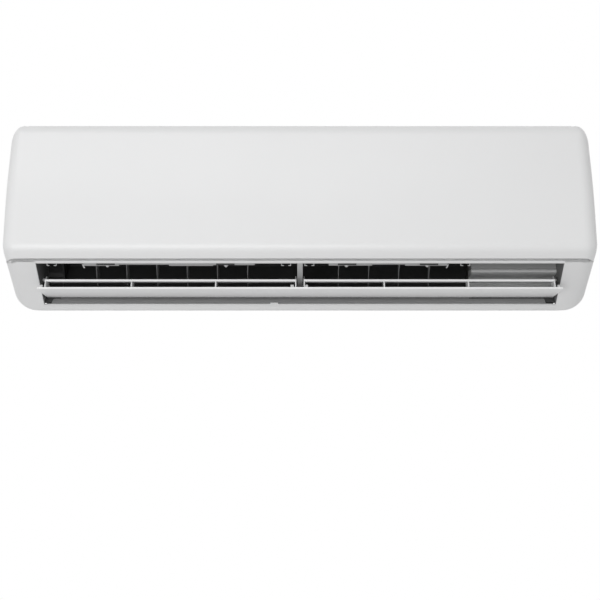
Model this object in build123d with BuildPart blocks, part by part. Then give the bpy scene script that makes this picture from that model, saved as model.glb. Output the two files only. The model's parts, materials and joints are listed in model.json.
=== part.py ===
"""Indoor unit of a split air conditioner, wall mounted, in millimetres.

Frame: X runs to the viewer's right, the wall is the plane Y = 0, the front looks along -Y and Z is up.
The origin is the middle of the back of the wall plate.
"""
from build123d import *
import math
import os

os.makedirs("parts", exist_ok=True)

# ---- whole unit -------------------------------------------------------------------------------
width = 970.0
height = 310.0
underside = -165.0              # Z of the lowest edge of the case
wall = 2.5                      # thickness of the moulded walls
end_rounding = 22.0             # rounding between the front and the ends
lower_corner = 48.0             # rounding of the lower corners seen from the front
inner_chamfer = 14.0            # chamfer inside the rounded ends
flats = 16                      # small round details are drawn with this many flats
panel_gap = 0.6                 # seam around the front panel
frame_inset = 3.5               # the case steps in by this under the panel
frame_depth = 6.0

# Points of the side section are given as (depth from the wall, height above the lowest edge).
case_outline = [(6, 310), (158, 310), (203, 200), (227, 100), (214, 80.2), (110, 0), (62, 0), (6, 44)]
case_roundings = [(158, 310, 30), (203, 200, 650), (227, 100, 24), (214, 80.2, 40), (110, 0, 12)]
panel_pivot = (136, 304.5)
panel_seam = [(136, 330), (136, 270), (172, 150), (176, 78.5), (205, 80), (214, 82.5), (224, 85), (250, 86),
              (250, 330)]

# ---- air path ---------------------------------------------------------------------------------
fan_centre = (103, 127)
fan_radius = 49.0
fan_left = -398.0
fan_right = 280.0
bulkhead_left = -405.0
bulkhead_right = 286.0
outlet_half_width = 431.0
duct_start = (154, 100)         # rear end of the upper duct wall
duct_mouth = (204, 80)          # its front end

# ---- louvre -----------------------------------------------------------------------------------
louver_pivot = (134, 51)
flap_front = (208, 35.3)
flap_rear = (110, 21.9)
flap_half_length = 428.0
flap_thickness = 3.0
rib_places = (7, 138, 276, 417)

# ---- display and button -----------------------------------------------------------------------
display_x = (340.0, 440.0)
display_depth = (188.0, 202.0)
display_level = (150.0, 172.0)
button_x = 428.0
button_radius = 4.0
button_travel = 1.5

# ---- vertical vanes ---------------------------------------------------------------------------
vane_pitch = 50.2
left_bank_start = -338.0
left_bank_count = 6
right_bank_start = 64.0
right_bank_count = 4
vane_thickness = 1.6
vane_pin_place = 16.0           # pivot, measured along the upper duct wall from its rear end
tie_pin_place = -2.0
tie_pin_level = 21.0            # distance of the tie bar below the upper duct wall


def at(depth, level):
    """A point of the side section in the axes of Plane.YZ."""
    return (-depth, underside + level)


def spot(x, depth, level):
    """A point of the unit from its place along the unit, its depth and its height."""
    return (x, -depth, underside + level)


def across(x):
    """The plane of a side section at x."""
    return Plane.YZ.offset(x)


def chords(points, roundings, steps=3):
    """A run of points in two or three dimensions with each rounded corner drawn as a few chords."""
    radii = {tuple(place): radius for *place, radius in roundings}
    drawn = []
    for number, corner in enumerate(points):
        radius = radii.get(tuple(corner))
        if radius is None:
            drawn.append(tuple(corner))
            continue
        here = Vector(*corner)
        back = (Vector(*points[number - 1]) - here).normalized()
        ahead = (Vector(*points[(number + 1) % len(points)]) - here).normalized()
        turn = math.radians(180 - back.get_angle(ahead))
        centre = here + (back + ahead).normalized() * (radius / math.cos(turn / 2))
        first = here + back * (radius * math.tan(turn / 2)) - centre
        side = (back * -1 - first * ((back * -1).dot(first) / first.dot(first))).normalized() * radius
        for step in range(steps + 1):
            angle = turn * step / steps
            point = centre + first * math.cos(angle) + side * math.sin(angle)
            drawn.append(tuple(point)[:len(tuple(corner))])
    return drawn


duct_length = math.dist(duct_start, duct_mouth)
duct_run = ((duct_mouth[0] - duct_start[0]) / duct_length, (duct_mouth[1] - duct_start[1]) / duct_length)
duct_drop = (duct_run[1], -duct_run[0])


def duct_at(along, below):
    """(depth, height) of a point along and below the upper duct wall."""
    return (duct_start[0] + along * duct_run[0] + below * duct_drop[0],
            duct_start[1] + along * duct_run[1] + below * duct_drop[1])


def duct_plane(x, along, below):
    """A plane square to the vane pivots, looking down from the duct wall into the air."""
    return Plane(origin=spot(x, *duct_at(along, below)), x_dir=(1, 0, 0),
                 z_dir=(0, -duct_drop[0], duct_drop[1]))


# ---- housing ----------------------------------------------------------------------------------
def outer_housing():
    """The closed unit as one block with its rounded ends."""
    with BuildPart() as block:
        with BuildSketch(Plane.YZ) as section:
            with BuildLine():
                Polyline(*[at(*point) for point in case_outline], close=True)
            make_face()
            for depth, level, radius in case_roundings:
                corner = section.vertices().sort_by_distance(at(depth, level) + (0,))[0]
                fillet(corner, radius)
        extrude(amount=width / 2, both=True)
        ends = block.faces().filter_by(Axis.X).sort_by(Axis.X)
        front_edges = [edge for end in (ends[0], ends[-1]) for edge in end.edges() if edge.center().Y < -50]
        fillet(front_edges, end_rounding)
        with BuildSketch(Plane.XZ) as front_view:
            with Locations((0, underside + height)):
                Rectangle(width, 2 * height)
            fillet(front_view.vertices().group_by(Axis.Y)[0], lower_corner)
        extrude(amount=height, mode=Mode.INTERSECT)
    return block.part


def drawn_in(points, distance):
    """The outline moved in by distance on every side except the back, its last side."""
    count = len(points)
    lines = []
    for number, start in enumerate(points):
        end = points[(number + 1) % count]
        length = math.dist(start, end)
        run = ((end[0] - start[0]) / length, (end[1] - start[1]) / length)
        move = 0 if number == count - 1 else distance
        lines.append(((start[0] + run[1] * move, start[1] - run[0] * move), run))
    moved = []
    for number, (place, run) in enumerate(lines):
        before, before_run = lines[number - 1]
        cross = before_run[0] * run[1] - before_run[1] * run[0]
        along = ((place[0] - before[0]) * run[1] - (place[1] - before[1]) * run[0]) / cross
        moved.append((before[0] + before_run[0] * along, before[1] + before_run[1] * along))
    return moved


def inner_housing(inset):
    """The space inside the walls at a depth of inset, with flat faces and chamfered ends."""
    half = width / 2 - inset
    outline = chords(case_outline, case_roundings[:-1])
    middle_half = half - inner_chamfer
    with BuildPart() as block:
        add(side_prism(drawn_in(outline, inset), x_from=-middle_half, x_to=middle_half))
        for side in (-1, 1):
            add(chamfered_end(outline, inset, side * middle_half, side * half))
        corner = chords([(half, height), (half, inset), (-half, inset), (-half, height)],
                        [(half, inset, lower_corner - inset), (-half, inset, lower_corner - inset)])
        with BuildSketch(Plane.XZ):
            with BuildLine():
                Polyline(*[(x, underside + level) for x, level in corner], close=True)
            make_face()
        extrude(amount=height, mode=Mode.INTERSECT)
    return block.part


def chamfered_end(outline, inset, x_full, x_end):
    """The tapered last stretch of an inner form."""
    with BuildPart() as taper:
        for x, distance in ((x_full, inset), (x_end, inset + inner_chamfer)):
            with BuildSketch(across(x)):
                with BuildLine():
                    Polyline(*[at(*point) for point in drawn_in(outline, distance)], close=True)
                make_face()
        loft(ruled=True)
    return taper.part


def side_prism(points, grow=0.0, x_from=-width, x_to=width):
    """A prism along X over a polygon of (depth, height) points, grown by grow."""
    with BuildPart() as prism:
        with BuildSketch(across(x_from)):
            with BuildLine():
                Polyline(*[at(*point) for point in points], close=True)
            make_face()
            if grow:
                offset(amount=grow, kind=Kind.INTERSECTION)
        extrude(amount=x_to - x_from)
    return prism.part


def side_sheet(points, thickness, x_from, x_to, roundings=()):
    """A bent sheet along X whose middle line runs through (depth, height) points."""
    with BuildPart() as sheet:
        with BuildSketch(across(x_from)):
            with BuildLine():
                Polyline(*[at(*point) for point in chords(points, roundings)])
            trace(line_width=thickness)
        extrude(amount=x_to - x_from)
    return sheet.part


def rod(x, depth, level, radius, length, sides=flats):
    """A rod along X that starts at x, its flats inside radius."""
    with BuildPart() as bar:
        with BuildSketch(across(x)):
            with Locations(at(depth, level)):
                RegularPolygon(radius, sides)
        extrude(amount=length)
    return bar.part


def round_rod(x, depth, level, radius, length):
    """A true round rod along X, for pins and shafts that turn."""
    with BuildPart() as bar:
        with BuildSketch(across(x)):
            with Locations(at(depth, level)):
                Circle(radius)
        extrude(amount=length)
    return bar.part


def bore(x, depth, level, radius, length, sides=flats):
    """The cutter of a hole along X, its flats outside radius."""
    return rod(x, depth, level, radius / math.cos(math.pi / sides), length, sides)


def plate_box(x_from, x_to, depth_from, depth_to, level_from, level_to):
    """A block between two places along the unit, two depths and two heights."""
    corner = [(depth_from, level_from), (depth_to, level_from), (depth_to, level_to), (depth_from, level_to)]
    return side_prism(corner, x_from=x_from, x_to=x_to)


outer_form = outer_housing()
shell_inner_form = inner_housing(wall)
frame_outer_form = inner_housing(frame_inset)
frame_inner_form = inner_housing(frame_depth)

# ---- front panel and its hinge ----------------------------------------------------------------
hinge_ear_x = 460.0
hinge_ear_thickness = 4.0
hinge_arm_x = 453.5
hinge_arm_thickness = 3.0
hinge_pin_radius = 2.5
running_gap = 0.05
groove_radius = 6.1
gutter_thickness = 2.2


def make_front_panel():
    """Thin convex shell with side returns, a pin arm at each end and stiffening ribs behind it."""
    with BuildPart() as front_panel:
        add(outer_form)
        add(shell_inner_form, mode=Mode.SUBTRACT)
        add(side_prism(panel_seam), mode=Mode.INTERSECT)
        for side in (-1, 1):
            ear = side * hinge_ear_x
            notch_half = hinge_ear_thickness / 2 + 1.5
            add(plate_box(ear - notch_half, ear + notch_half, 130, 148, 292, height + 1), mode=Mode.SUBTRACT)
            arm_x = side * hinge_arm_x - hinge_arm_thickness / 2
            add(hinge_arm(arm_x))
            pin_x = arm_x + (hinge_arm_thickness if side > 0 else -7)
            add(round_rod(pin_x, *panel_pivot, hinge_pin_radius, 7))
    return front_panel.part


def hinge_arm(x, grow=0.0):
    """A flat arm from the inside of the panel's top bend to the hinge pin, or the slot that it needs."""
    depth, level = panel_pivot
    with BuildPart() as arm:
        with BuildSketch(across(x - grow)):
            with Locations(at(depth, level)):
                RegularPolygon(4.2 + grow, flats)
            with BuildLine():
                Polyline(at(depth, level + 4 + grow), at(depth + 12, level + 3 + grow),
                         at(depth + 19, level - 1 + grow), at(depth + 19, level - 2.5 - grow),
                         at(depth, level - 4 - grow), close=True)
            make_face()
        extrude(amount=hinge_arm_thickness + 2 * grow)
    return arm.part


# ---- front case -------------------------------------------------------------------------------
grille_columns = 20
grille_rib = 5.0
grille_half_width = 452.0
grille_rows = [(22, 54), (60, 92), (98, 124)]
filter_window = (-446, 304, 142, 292)       # left, right, low and high edge in the front view
outlet_cut = [(122.5, 8.5), (130, 0), (220, 66), (208, 75.2), (206, 78), (204, 84), (150, 84), (112, 30),
              (119, 12.5)]
lip_bar = [(206, 78), (208, 75), (212.6, 78.9), (211, 80.6), (208.4, 80.4), (208.4, 100), (206, 100)]
rail_bar = [(104, 1.5), (110, 1), (122.3, 10), (118.5, 12.5), (110, 10), (104, 3)]
outlet_side = [(205, 78), (203, 80), (152, 98.5), (96, 80), (70, 62), (108, 14), (119, 9.5)]
post_outline = [(207, 78.5), (204, 80), (154, 100), (146, 97), (126, 58), (126, 46), (134, 42.5), (146, 46)]
post_half = 4.5
bush_hole = 5.0
hinge_relief = [(130.2, 307.2), (132, 311), (140, 311), (140, 307.2)]   # room for the panel when it is up


def make_front_case():
    """Outer moulding: top grille, ends, stepped frame behind the panel, outlet frame, bottom rail."""
    with BuildPart() as front_case:
        add(outer_form)
        add(shell_inner_form, mode=Mode.SUBTRACT)
        add(side_prism(panel_seam, grow=panel_gap), mode=Mode.SUBTRACT)
        add(case_step())
        add(case_frame())
        add(plate_box(-440, 440, 206, 217, 120, 122.5))
        add(bore(-width / 2, *panel_pivot, groove_radius, width), mode=Mode.SUBTRACT)
        add(side_prism(hinge_relief), mode=Mode.SUBTRACT)
        add(hinge_gutter())
        for side in (-1, 1):
            add(hinge_arm(side * hinge_arm_x - hinge_arm_thickness / 2, grow=0.8), mode=Mode.SUBTRACT)
        add(side_prism(lip_bar, x_from=-outlet_half_width, x_to=outlet_half_width))
        add(side_prism(rail_bar, x_from=-outlet_half_width, x_to=outlet_half_width))
        # the back is open, and the bottom behind the rail belongs to the chassis
        add(plate_box(-width, width, -10, 12, -10, height + 10), mode=Mode.SUBTRACT)
        add(plate_box(-width, width, 0, 62, -10, 62), mode=Mode.SUBTRACT)
        add(side_prism(outlet_cut, x_from=-outlet_half_width, x_to=outlet_half_width), mode=Mode.SUBTRACT)
        for side in (-1, 1):
            inner = min(side * outlet_half_width, side * (outlet_half_width + wall))
            add(side_prism(outlet_side, x_from=inner, x_to=inner + wall))
        add(side_prism(post_outline, x_from=-post_half, x_to=post_half))
        add(bore(-width / 2, *louver_pivot, bush_hole, width), mode=Mode.SUBTRACT)
        pitch = 2 * grille_half_width / grille_columns
        for near, far in grille_rows:
            with BuildSketch(Plane.XY.offset(underside + height + 1)):
                with Locations((0, -(near + far) / 2)):
                    with GridLocations(pitch, 1, grille_columns, 1):
                        Rectangle(pitch - grille_rib, far - near)
            extrude(amount=-5, mode=Mode.SUBTRACT)
    return front_case.part


def case_step():
    """The joggle that carries the case from its outer face to the frame under the panel."""
    with BuildPart() as step:
        add(outer_form)
        add(frame_inner_form, mode=Mode.SUBTRACT)
        add(side_prism(panel_seam, grow=panel_gap), mode=Mode.SUBTRACT)
        add(side_prism(panel_seam, grow=panel_gap + wall + 1), mode=Mode.INTERSECT)
    return step.part


def case_frame():
    """The face behind the panel, with one window for each air filter and a closed right end."""
    left, right, low, high = filter_window
    mullion_half = 6
    with BuildPart() as face:
        add(frame_outer_form)
        add(frame_inner_form, mode=Mode.SUBTRACT)
        add(side_prism(panel_seam, grow=panel_gap + 0.5), mode=Mode.INTERSECT)
        add(plate_box(left, -mullion_half, 125, 240, low, high), mode=Mode.SUBTRACT)
        add(plate_box(mullion_half, right, 125, 240, low, high), mode=Mode.SUBTRACT)
        middle = (display_level[0] + display_level[1]) / 2
        with BuildSketch(Plane.XZ.offset(display_depth[0])):
            with Locations((button_x, underside + middle)):
                RegularPolygon(button_radius + 0.6, flats, major_radius=False)
            with Locations((375, underside + middle)):
                Rectangle(46, 12)
        extrude(amount=40, mode=Mode.SUBTRACT)
        rib = [(190, 150), (209.5, 150), (204, 172), (190, 172)]
        for x in (display_x[0] - 2, display_x[1]):
            add(side_prism(rib, x_from=x, x_to=x + 2))
    return face.part


def hinge_gutter():
    """A trough round the panel's hinge line, with a bored ear near each end."""
    depth, level = panel_pivot
    outer = groove_radius + gutter_thickness
    half = width / 2 - end_rounding
    with BuildPart() as gutter:
        with BuildSketch(across(-half)):
            with Locations(at(depth, level)):
                RegularPolygon(outer, flats)
                RegularPolygon(groove_radius, flats, major_radius=False, mode=Mode.SUBTRACT)
            with BuildLine():
                Polyline(at(depth - outer - 1, level + 4), at(depth + outer + 1, level + 1.5),
                         at(depth + outer + 1, level + 12), at(depth - outer - 1, level + 12), close=True)
            make_face(mode=Mode.SUBTRACT)
        extrude(amount=2 * half)
        for side in (-1, 1):
            start = side * hinge_ear_x - hinge_ear_thickness / 2
            add(rod(start, depth, level, groove_radius + 0.3, hinge_ear_thickness))
            add(bore(start, depth, level, hinge_pin_radius + running_gap, hinge_ear_thickness),
                mode=Mode.SUBTRACT)
        add(plate_box(-width, width, depth - 12, depth + 12, level + 4.2, level + 12), mode=Mode.SUBTRACT)
    return gutter.part


# ---- wall plate -------------------------------------------------------------------------------
plate_half_width = 380.0
plate_half_height = 100.0
plate_sheet = 1.5
plate_screw_x = 340.0
plate_screw_z = 85.0
plate_screw_radius = 2.75
plate_hook_places = (-300, 0, 300)
plate_clip_places = (-260, 260)
plate_rib_levels = (-60, -20, 20, 60)


plate_slot_x = 210.0
plate_window_x = 58.0
plate_rib_height = 3.0


def make_wall_plate():
    """Steel sheet with pressed ribs, three top hooks, two lower clips and corner screw holes."""
    with BuildPart() as wall_plate:
        with BuildSketch(Plane.XZ) as sheet:
            Rectangle(2 * plate_half_width, 2 * plate_half_height)
            chamfer(sheet.vertices(), 10)
            with Locations((-plate_window_x, 0), (plate_window_x, 0)):
                Rectangle(64, 90, mode=Mode.SUBTRACT)
            with GridLocations(2 * plate_screw_x, 2 * plate_screw_z, 2, 2):
                Circle(plate_screw_radius, mode=Mode.SUBTRACT)
            with GridLocations(2 * plate_slot_x, 2 * plate_screw_z, 2, 2):
                Rectangle(16, 6, mode=Mode.SUBTRACT)
        extrude(amount=plate_sheet)
        for side in (-1, 1):
            for level in plate_rib_levels:
                middle = level - underside
                top = plate_sheet + plate_rib_height
                outer = [(plate_sheet, middle - 7), (top, middle - 5), (top, middle + 5), (plate_sheet, middle + 7)]
                hollow = [(0, middle - 5.8), (3, middle - 3.8), (3, middle + 3.8), (0, middle + 5.8)]
                add(side_prism(outer, x_from=side * plate_slot_x - 105, x_to=side * plate_slot_x + 105))
                add(side_prism(hollow, x_from=side * plate_slot_x - 103.5, x_to=side * plate_slot_x + 103.5),
                    mode=Mode.SUBTRACT)
        for x in plate_hook_places:
            hook = [(0, -6), (6, -6), (6, 7), (4.5, 7), (4.5, -4.5), (0, -4.5)]
            edge = plate_half_height - underside
            add(side_prism([(depth, edge + rise) for depth, rise in hook], x_from=x - 15, x_to=x + 15))
        for x in plate_clip_places:
            clip = [(0, 2), (8, 2), (8, 9), (6.5, 9), (6.5, 3.5), (0, 3.5)]
            edge = -plate_half_height - underside
            add(side_prism([(depth, edge + rise) for depth, rise in clip], x_from=x - 12, x_to=x + 12))
    return wall_plate.part


# ---- chassis ----------------------------------------------------------------------------------
chassis_half_width = 470.0
base_half_width = 430.5         # the base ends where the lower corners of the case begin
rear_wall_depth = 12.0
channel_level = 64.0            # below this the back is open for the pipes
chassis_top = 296.0
scroll = [(rear_wall_depth, 200), (32, 188), (62, 163), (36, 124.5), (52, 76)]
scroll_radius = 70.0
lower_wall_end = (114.5, 13)
pan_left = -outlet_half_width
pan_right = 300.0
motor_left = 296.0
motor_length = 70.0
motor_radius = 40.0
motor_sides = 32
bulkhead_outline = [(rear_wall_depth, channel_level), (rear_wall_depth, 205), (40, 193), (66, 178),
                    (104, 188), (148, 172), (158, 128), (155.5, 122), (155.5, 112), (150.2, 103.6),
                    (153.6, 100), (146, 97), (110, 90), (91, 62), (84, 44), (51, 75), (40, 90), (34, 72)]
scoop = [(150, 98), (96, 80), (70, 62), lower_wall_end]
base = [(101, 27), (96, 4.5), (64, 4.5), (46, 24)]


def make_chassis():
    """Rear wall and fan scroll in one sheet, bulkheads, end walls, base and the scoops at the ends."""
    with BuildPart() as chassis:
        add(scroll_sheet(bulkhead_left, bulkhead_right + 3))
        half = chassis_half_width
        add(side_sheet([(rear_wall_depth, chassis_top), (rear_wall_depth, channel_level)], wall, -half, half))
        add(side_sheet(base, wall, -base_half_width, base_half_width, roundings=[(64, 4.5, 12)]))
        add(side_sheet(scoop, wall, bulkhead_right, outlet_half_width, roundings=[(70, 62, 14)]))
        add(side_sheet(scoop, wall, -outlet_half_width, bulkhead_left, roundings=[(70, 62, 14)]))
        roof = [(204, 81.3), (150, 98)]
        add(side_sheet(roof, wall, pan_right + 0.5, outlet_half_width))
        for x in (bulkhead_left, bulkhead_right):
            add(side_prism(bulkhead_outline, x_from=x, x_to=x + 3))
        for x in (-half, half - wall):
            add(side_prism(end_wall_outline(), x_from=x, x_to=x + wall))
        add(motor_cradle())
        shaft_hole = 9.0
        add(rod(bulkhead_right - 1, *fan_centre, shaft_hole, 6), mode=Mode.SUBTRACT)
        add(rod(bulkhead_left - 1, *fan_centre, bearing_radius, 6, 24), mode=Mode.SUBTRACT)
        for x in plate_hook_places:
            add(rear_hook(x))
    return chassis.part


def scroll_sheet(x_from, x_to):
    """The sheet that leads air round the fan and down to the outlet."""
    run = scroll + [lower_wall_end]
    return side_sheet(run, wall, x_from, x_to, roundings=[(36, 124.5, scroll_radius)])


def end_wall_outline():
    """Outline of the chassis end walls, notched behind for the pipes."""
    return [(2, chassis_top), (2, channel_level + 8), (64, channel_level + 8), (67, 40), (80, 19), (106, 19),
            (118, 60), (160, 110), (160, 150), (130, 250), (116, chassis_top)]


def motor_cradle():
    """Two half-round saddles under the fan motor, on legs that stand on the scoop and the rear wall."""
    depth, level = fan_centre
    with BuildPart() as cradle:
        for x in (motor_left + 8, motor_left + motor_length - 14):
            with BuildSketch(across(x)):
                with BuildLine():
                    Polyline(at(rear_wall_depth, level), at(rear_wall_depth, 84), at(70, 62), at(96, 80),
                             at(146, 96), at(149, level), close=True)
                make_face()
                with Locations(at(depth, level)):
                    RegularPolygon(motor_radius, motor_sides, mode=Mode.SUBTRACT)
            extrude(amount=6)
    return cradle.part


def rear_hook(x):
    """A bent lip on the back that rests on a hook of the wall plate and drops behind it."""
    rest = plate_half_height + 7 - underside
    with BuildPart() as hook:
        add(plate_box(x - 13, x + 13, 2.2, rear_wall_depth - 1, rest, rest + 2.5))
        add(plate_box(x - 13, x + 13, 2.2, 4.2, rest - 8, rest + 1))
    return hook.part


# ---- drain pan and drain ----------------------------------------------------------------------
pan_outline = [(156, 122), (156, 112), (151, 104), duct_start, duct_mouth, (205.8, 84), (205.8, 138), (203, 138),
               (203, 118), (199, 114), (164, 114), (159, 122)]
drain_place = (176, 106)
drain_radius = 8.0
drain_bore = 6.0
drain_foot = (-450, 30, 64)     # x, depth and height of the spigot's lower end
spigot_length = 22.0            # a hose is pushed on as far as the collar
sump_length = 24.0


def make_drain_pan():
    """Long tray under the front coil. Its sloped underside is the upper wall of the air duct."""
    with BuildPart() as drain_pan:
        add(side_prism(pan_outline, x_from=pan_left, x_to=pan_right))
        for x in (pan_left, pan_right - 3):
            rib = [(157, 118), (157, 112), (204, 112), (204, 126), (160, 126)]
            add(side_prism(rib, x_from=x, x_to=x + 3))
        for x in (pan_left + 3, pan_right - 3 - sump_length):
            add(plate_box(x, x + sump_length, 166, 190, 98, 116), mode=Mode.SUBTRACT)
        for x in (-380, -190, 0, 190):
            add(plate_box(x, x + 4, 176, 196, 112, coil_foot_level))
        add(bore(pan_left - 1, *drain_place, drain_radius + running_gap, 5), mode=Mode.SUBTRACT)
        add(bore(pan_right - 4, *drain_place, drain_radius + running_gap, 5), mode=Mode.SUBTRACT)
    return drain_pan.part


def make_drain_outlet():
    """Elbow pipe from the left sump round the end of the chassis, with a round spigot and a collar."""
    foot_x, foot_depth, foot_level = drain_foot
    depth, level = drain_place
    collar = foot_level + spigot_length
    run = [spot(pan_left + 3, depth, level), spot(foot_x, depth, level), spot(foot_x, foot_depth, level),
           spot(foot_x, foot_depth, collar)]
    bends = [(*run[1], 10), (*run[2], 10)]
    with BuildPart() as drain_outlet:
        add(tube(chords(run, bends, 2), drain_radius, flats))
        with BuildSketch(Plane.XY.offset(underside + foot_level)):
            with Locations((foot_x, -foot_depth)):
                Circle(drain_radius)
        extrude(amount=spigot_length)
        with BuildSketch(Plane.XY.offset(underside + collar)):
            with Locations((foot_x, -foot_depth)):
                RegularPolygon(drain_radius + 2.5, flats)
        extrude(amount=2)
        add(tube(chords(run[:-1] + [spot(foot_x, foot_depth, foot_level)], bends, 2), drain_bore, 8),
            mode=Mode.SUBTRACT)
    return drain_outlet.part


def tube(points, radius, sides):
    """A solid tube with flats through the given points, mitred at each of them."""
    start = Vector(*points[0])
    with BuildPart() as run:
        with BuildLine() as route:
            Polyline(*points)
        with BuildSketch(Plane(origin=start, z_dir=Vector(*points[1]) - start)):
            RegularPolygon(radius, sides)
        sweep(path=route.line, transition=Transition.RIGHT)
    return run.part


def make_drain_plug():
    """Rubber plug with a grip head that closes the unused drain hole."""
    with BuildPart() as drain_plug:
        add(rod(pan_right - 3, *drain_place, drain_radius, 3))
        add(rod(pan_right, *drain_place, drain_radius + 3, 3))
        add(rod(pan_right + 3, *drain_place, 4, 9))
    return drain_plug.part


# ---- fan, bearing and motor -------------------------------------------------------------------
blade_count = 20
blade_inner_radius = 37.5
blade_curve = [(37.5, 0.0), (43, 0.065), (48.2, 0.245)]     # radius and angle along a blade
blade_thickness = 1.3
fan_spans = 3
fan_sides = 40
disc_thickness = 3.0
shaft_radius = 4.0
bearing_radius = 14.0
bearing_left = -411.0


def make_cross_flow_fan():
    """Drum of forward curved blades held by rings, with a closed disc and hub at each end."""
    depth, level = fan_centre
    length = fan_right - fan_left
    span = (length - disc_thickness) / fan_spans
    with BuildPart() as cross_flow_fan:
        with BuildSketch(across(fan_left)):
            with Locations(at(depth, level)):
                with PolarLocations(0, blade_count):
                    add(blade_section())
        extrude(amount=length)
        for number in range(fan_spans + 1):
            with BuildSketch(across(fan_left + number * span)):
                with Locations(at(depth, level)):
                    RegularPolygon(fan_radius, fan_sides)
                    if 0 < number < fan_spans:
                        RegularPolygon(blade_inner_radius - 2, flats, mode=Mode.SUBTRACT)
            extrude(amount=disc_thickness)
        add(rod(fan_left, depth, level, 10, 14))
        add(rod(fan_right - 18, depth, level, 11, 18))
        add(bore(fan_left - 1, depth, level, shaft_radius, 13), mode=Mode.SUBTRACT)
        add(bore(fan_right - 16, depth, level, shaft_radius, 17), mode=Mode.SUBTRACT)
    return cross_flow_fan.part


def blade_section():
    """One blade seen along the fan axis: a crescent whose two curved sides are drawn as chords."""
    inside = curve_points(blade_curve)
    back = curve_points([(radius, angle + blade_thickness / radius) for radius, angle in blade_curve])
    with BuildSketch() as section:
        with BuildLine():
            Polyline(*inside, *reversed(back), close=True)
        make_face()
    return section.sketch


def curve_points(polar):
    """Flat points from pairs of radius and angle."""
    return [(radius * math.cos(angle), radius * math.sin(angle)) for radius, angle in polar]


def make_fan_stub_shaft():
    """Steel pin at the left end of the fan."""
    with BuildPart() as fan_stub_shaft:
        add(round_rod(bearing_left, *fan_centre, shaft_radius, fan_left + 12 - bearing_left))
    return fan_stub_shaft.part


def make_fan_bearing():
    """Oil bearing in a rubber ring, pressed into the left bulkhead."""
    with BuildPart() as fan_bearing:
        add(rod(bearing_left, *fan_centre, bearing_radius, 10, 24))
        add(bore(bearing_left - 1, *fan_centre, shaft_radius + running_gap, 12), mode=Mode.SUBTRACT)
    return fan_bearing.part


def make_bearing_holder():
    """Cap with two ears that keeps the bearing in the bulkhead."""
    depth, level = fan_centre
    with BuildPart() as bearing_holder:
        ears = [(-30, 6), (-18, 18), (18, 18), (30, 6), (30, -6), (18, -18), (-18, -18), (-30, -6)]
        cap = [(depth + across_ear, level + up) for across_ear, up in ears]
        add(side_prism(cap, x_from=bearing_left - 3, x_to=bulkhead_left))
        add(bore(bearing_left, depth, level, bearing_radius, 10, 24), mode=Mode.SUBTRACT)
        for side in (-1, 1):
            add(rod(bearing_left - 4, depth + side * 23, level, 2.2, 12, 8), mode=Mode.SUBTRACT)
    return bearing_holder.part


def make_fan_motor():
    """Moulded motor with a stepped end, vent rings and a rubber collar round the shaft."""
    depth, level = fan_centre
    with BuildPart() as fan_motor:
        add(rod(motor_left, depth, level, motor_radius, motor_length - 6, motor_sides))
        add(rod(motor_left + motor_length - 6, depth, level, motor_radius - 6, 6, motor_sides))
        add(rod(motor_left - 5, depth, level, 14, 5))
        add(rod(motor_left + motor_length, depth, level, 15, 6))
        add(bore(motor_left - 6, depth, level, shaft_radius + running_gap, 41), mode=Mode.SUBTRACT)
    return fan_motor.part


def make_motor_shaft():
    """Shaft from the motor through the bulkhead into the fan hub, with a flat near its end."""
    depth, level = fan_centre
    with BuildPart() as motor_shaft:
        add(round_rod(fan_right - 16, depth, level, shaft_radius, motor_left + 34 - fan_right + 16))
    return motor_shaft.part


def make_motor_clamp():
    """Two straps over the motor, joined by a rib, with a foot on each side of the cradle."""
    depth, level = fan_centre
    with BuildPart() as motor_clamp:
        for x in (motor_left + 8, motor_left + motor_length - 14):
            with BuildSketch(across(x)):
                with Locations(at(depth, level)):
                    RegularPolygon(motor_radius + 3, flats)
                add(side_outline([(50, level), (149, level), (149, level + 3), (50, level + 3)]))
                add(side_outline([(40, level - 60), (160, level - 60), (160, level), (40, level)]),
                    mode=Mode.SUBTRACT)
                with Locations(at(depth, level)):
                    RegularPolygon(motor_radius, motor_sides, mode=Mode.SUBTRACT)
            extrude(amount=6)
        add(plate_box(motor_left + 8, motor_left + motor_length - 8, depth - 8, depth + 8,
                      level + motor_radius + 1, level + motor_radius + 4))
    return motor_clamp.part


def side_outline(points):
    """A flat polygon of (depth, height) points."""
    with BuildSketch() as face:
        with BuildLine():
            Polyline(*[at(*point) for point in points], close=True)
        make_face()
    return face.sketch


# ---- heat exchanger ---------------------------------------------------------------------------
coil_left = -420.0
coil_right = 292.0
coil_plate = 1.2
coil_foot_level = 124.0
front_lower_pack = [(177.8, 124), (202.2, 124), (184.7, 206.5), (161.3, 201.5)]
front_upper_pack = [(176.9, 224.1), (112.9, 294.1), (95.1, 277.9), (159.1, 207.9)]
rear_pack = [(72.2, 291), (22.2, 221), (41.8, 207), (91.8, 277)]
tube_radius = 3.5
tube_pitch = 21.0
bend_reach = 14.5               # how far a return bend stands out
bend_rows = [((180, 164), (-0.208, 0.978)), ((150, 235.5), (-0.675, 0.738)), ((64, 259), (-0.581, -0.814))]


def make_fin_pack(outline):
    """A block of fins with a shallow groove between the two rows of tubes at each end."""
    with BuildPart() as fin_pack:
        add(side_prism(outline, x_from=coil_left, x_to=coil_right))
    return fin_pack.part


def make_coil_end_plate(x):
    """Sheet with the outline of the three packs, joined at their ends."""
    with BuildPart() as end_plate:
        with BuildSketch(across(x)):
            for outline in (front_lower_pack, front_upper_pack, rear_pack):
                add(side_outline(outline))
            add(side_outline([(161.3, 201.5), (184.7, 206.5), (176.9, 224.1), (159.1, 207.9)]))
            add(side_outline([(91.8, 277), (95.1, 277.9), (112.9, 294.1), (72.2, 291)]))
        extrude(amount=coil_plate)
    return end_plate.part


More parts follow.
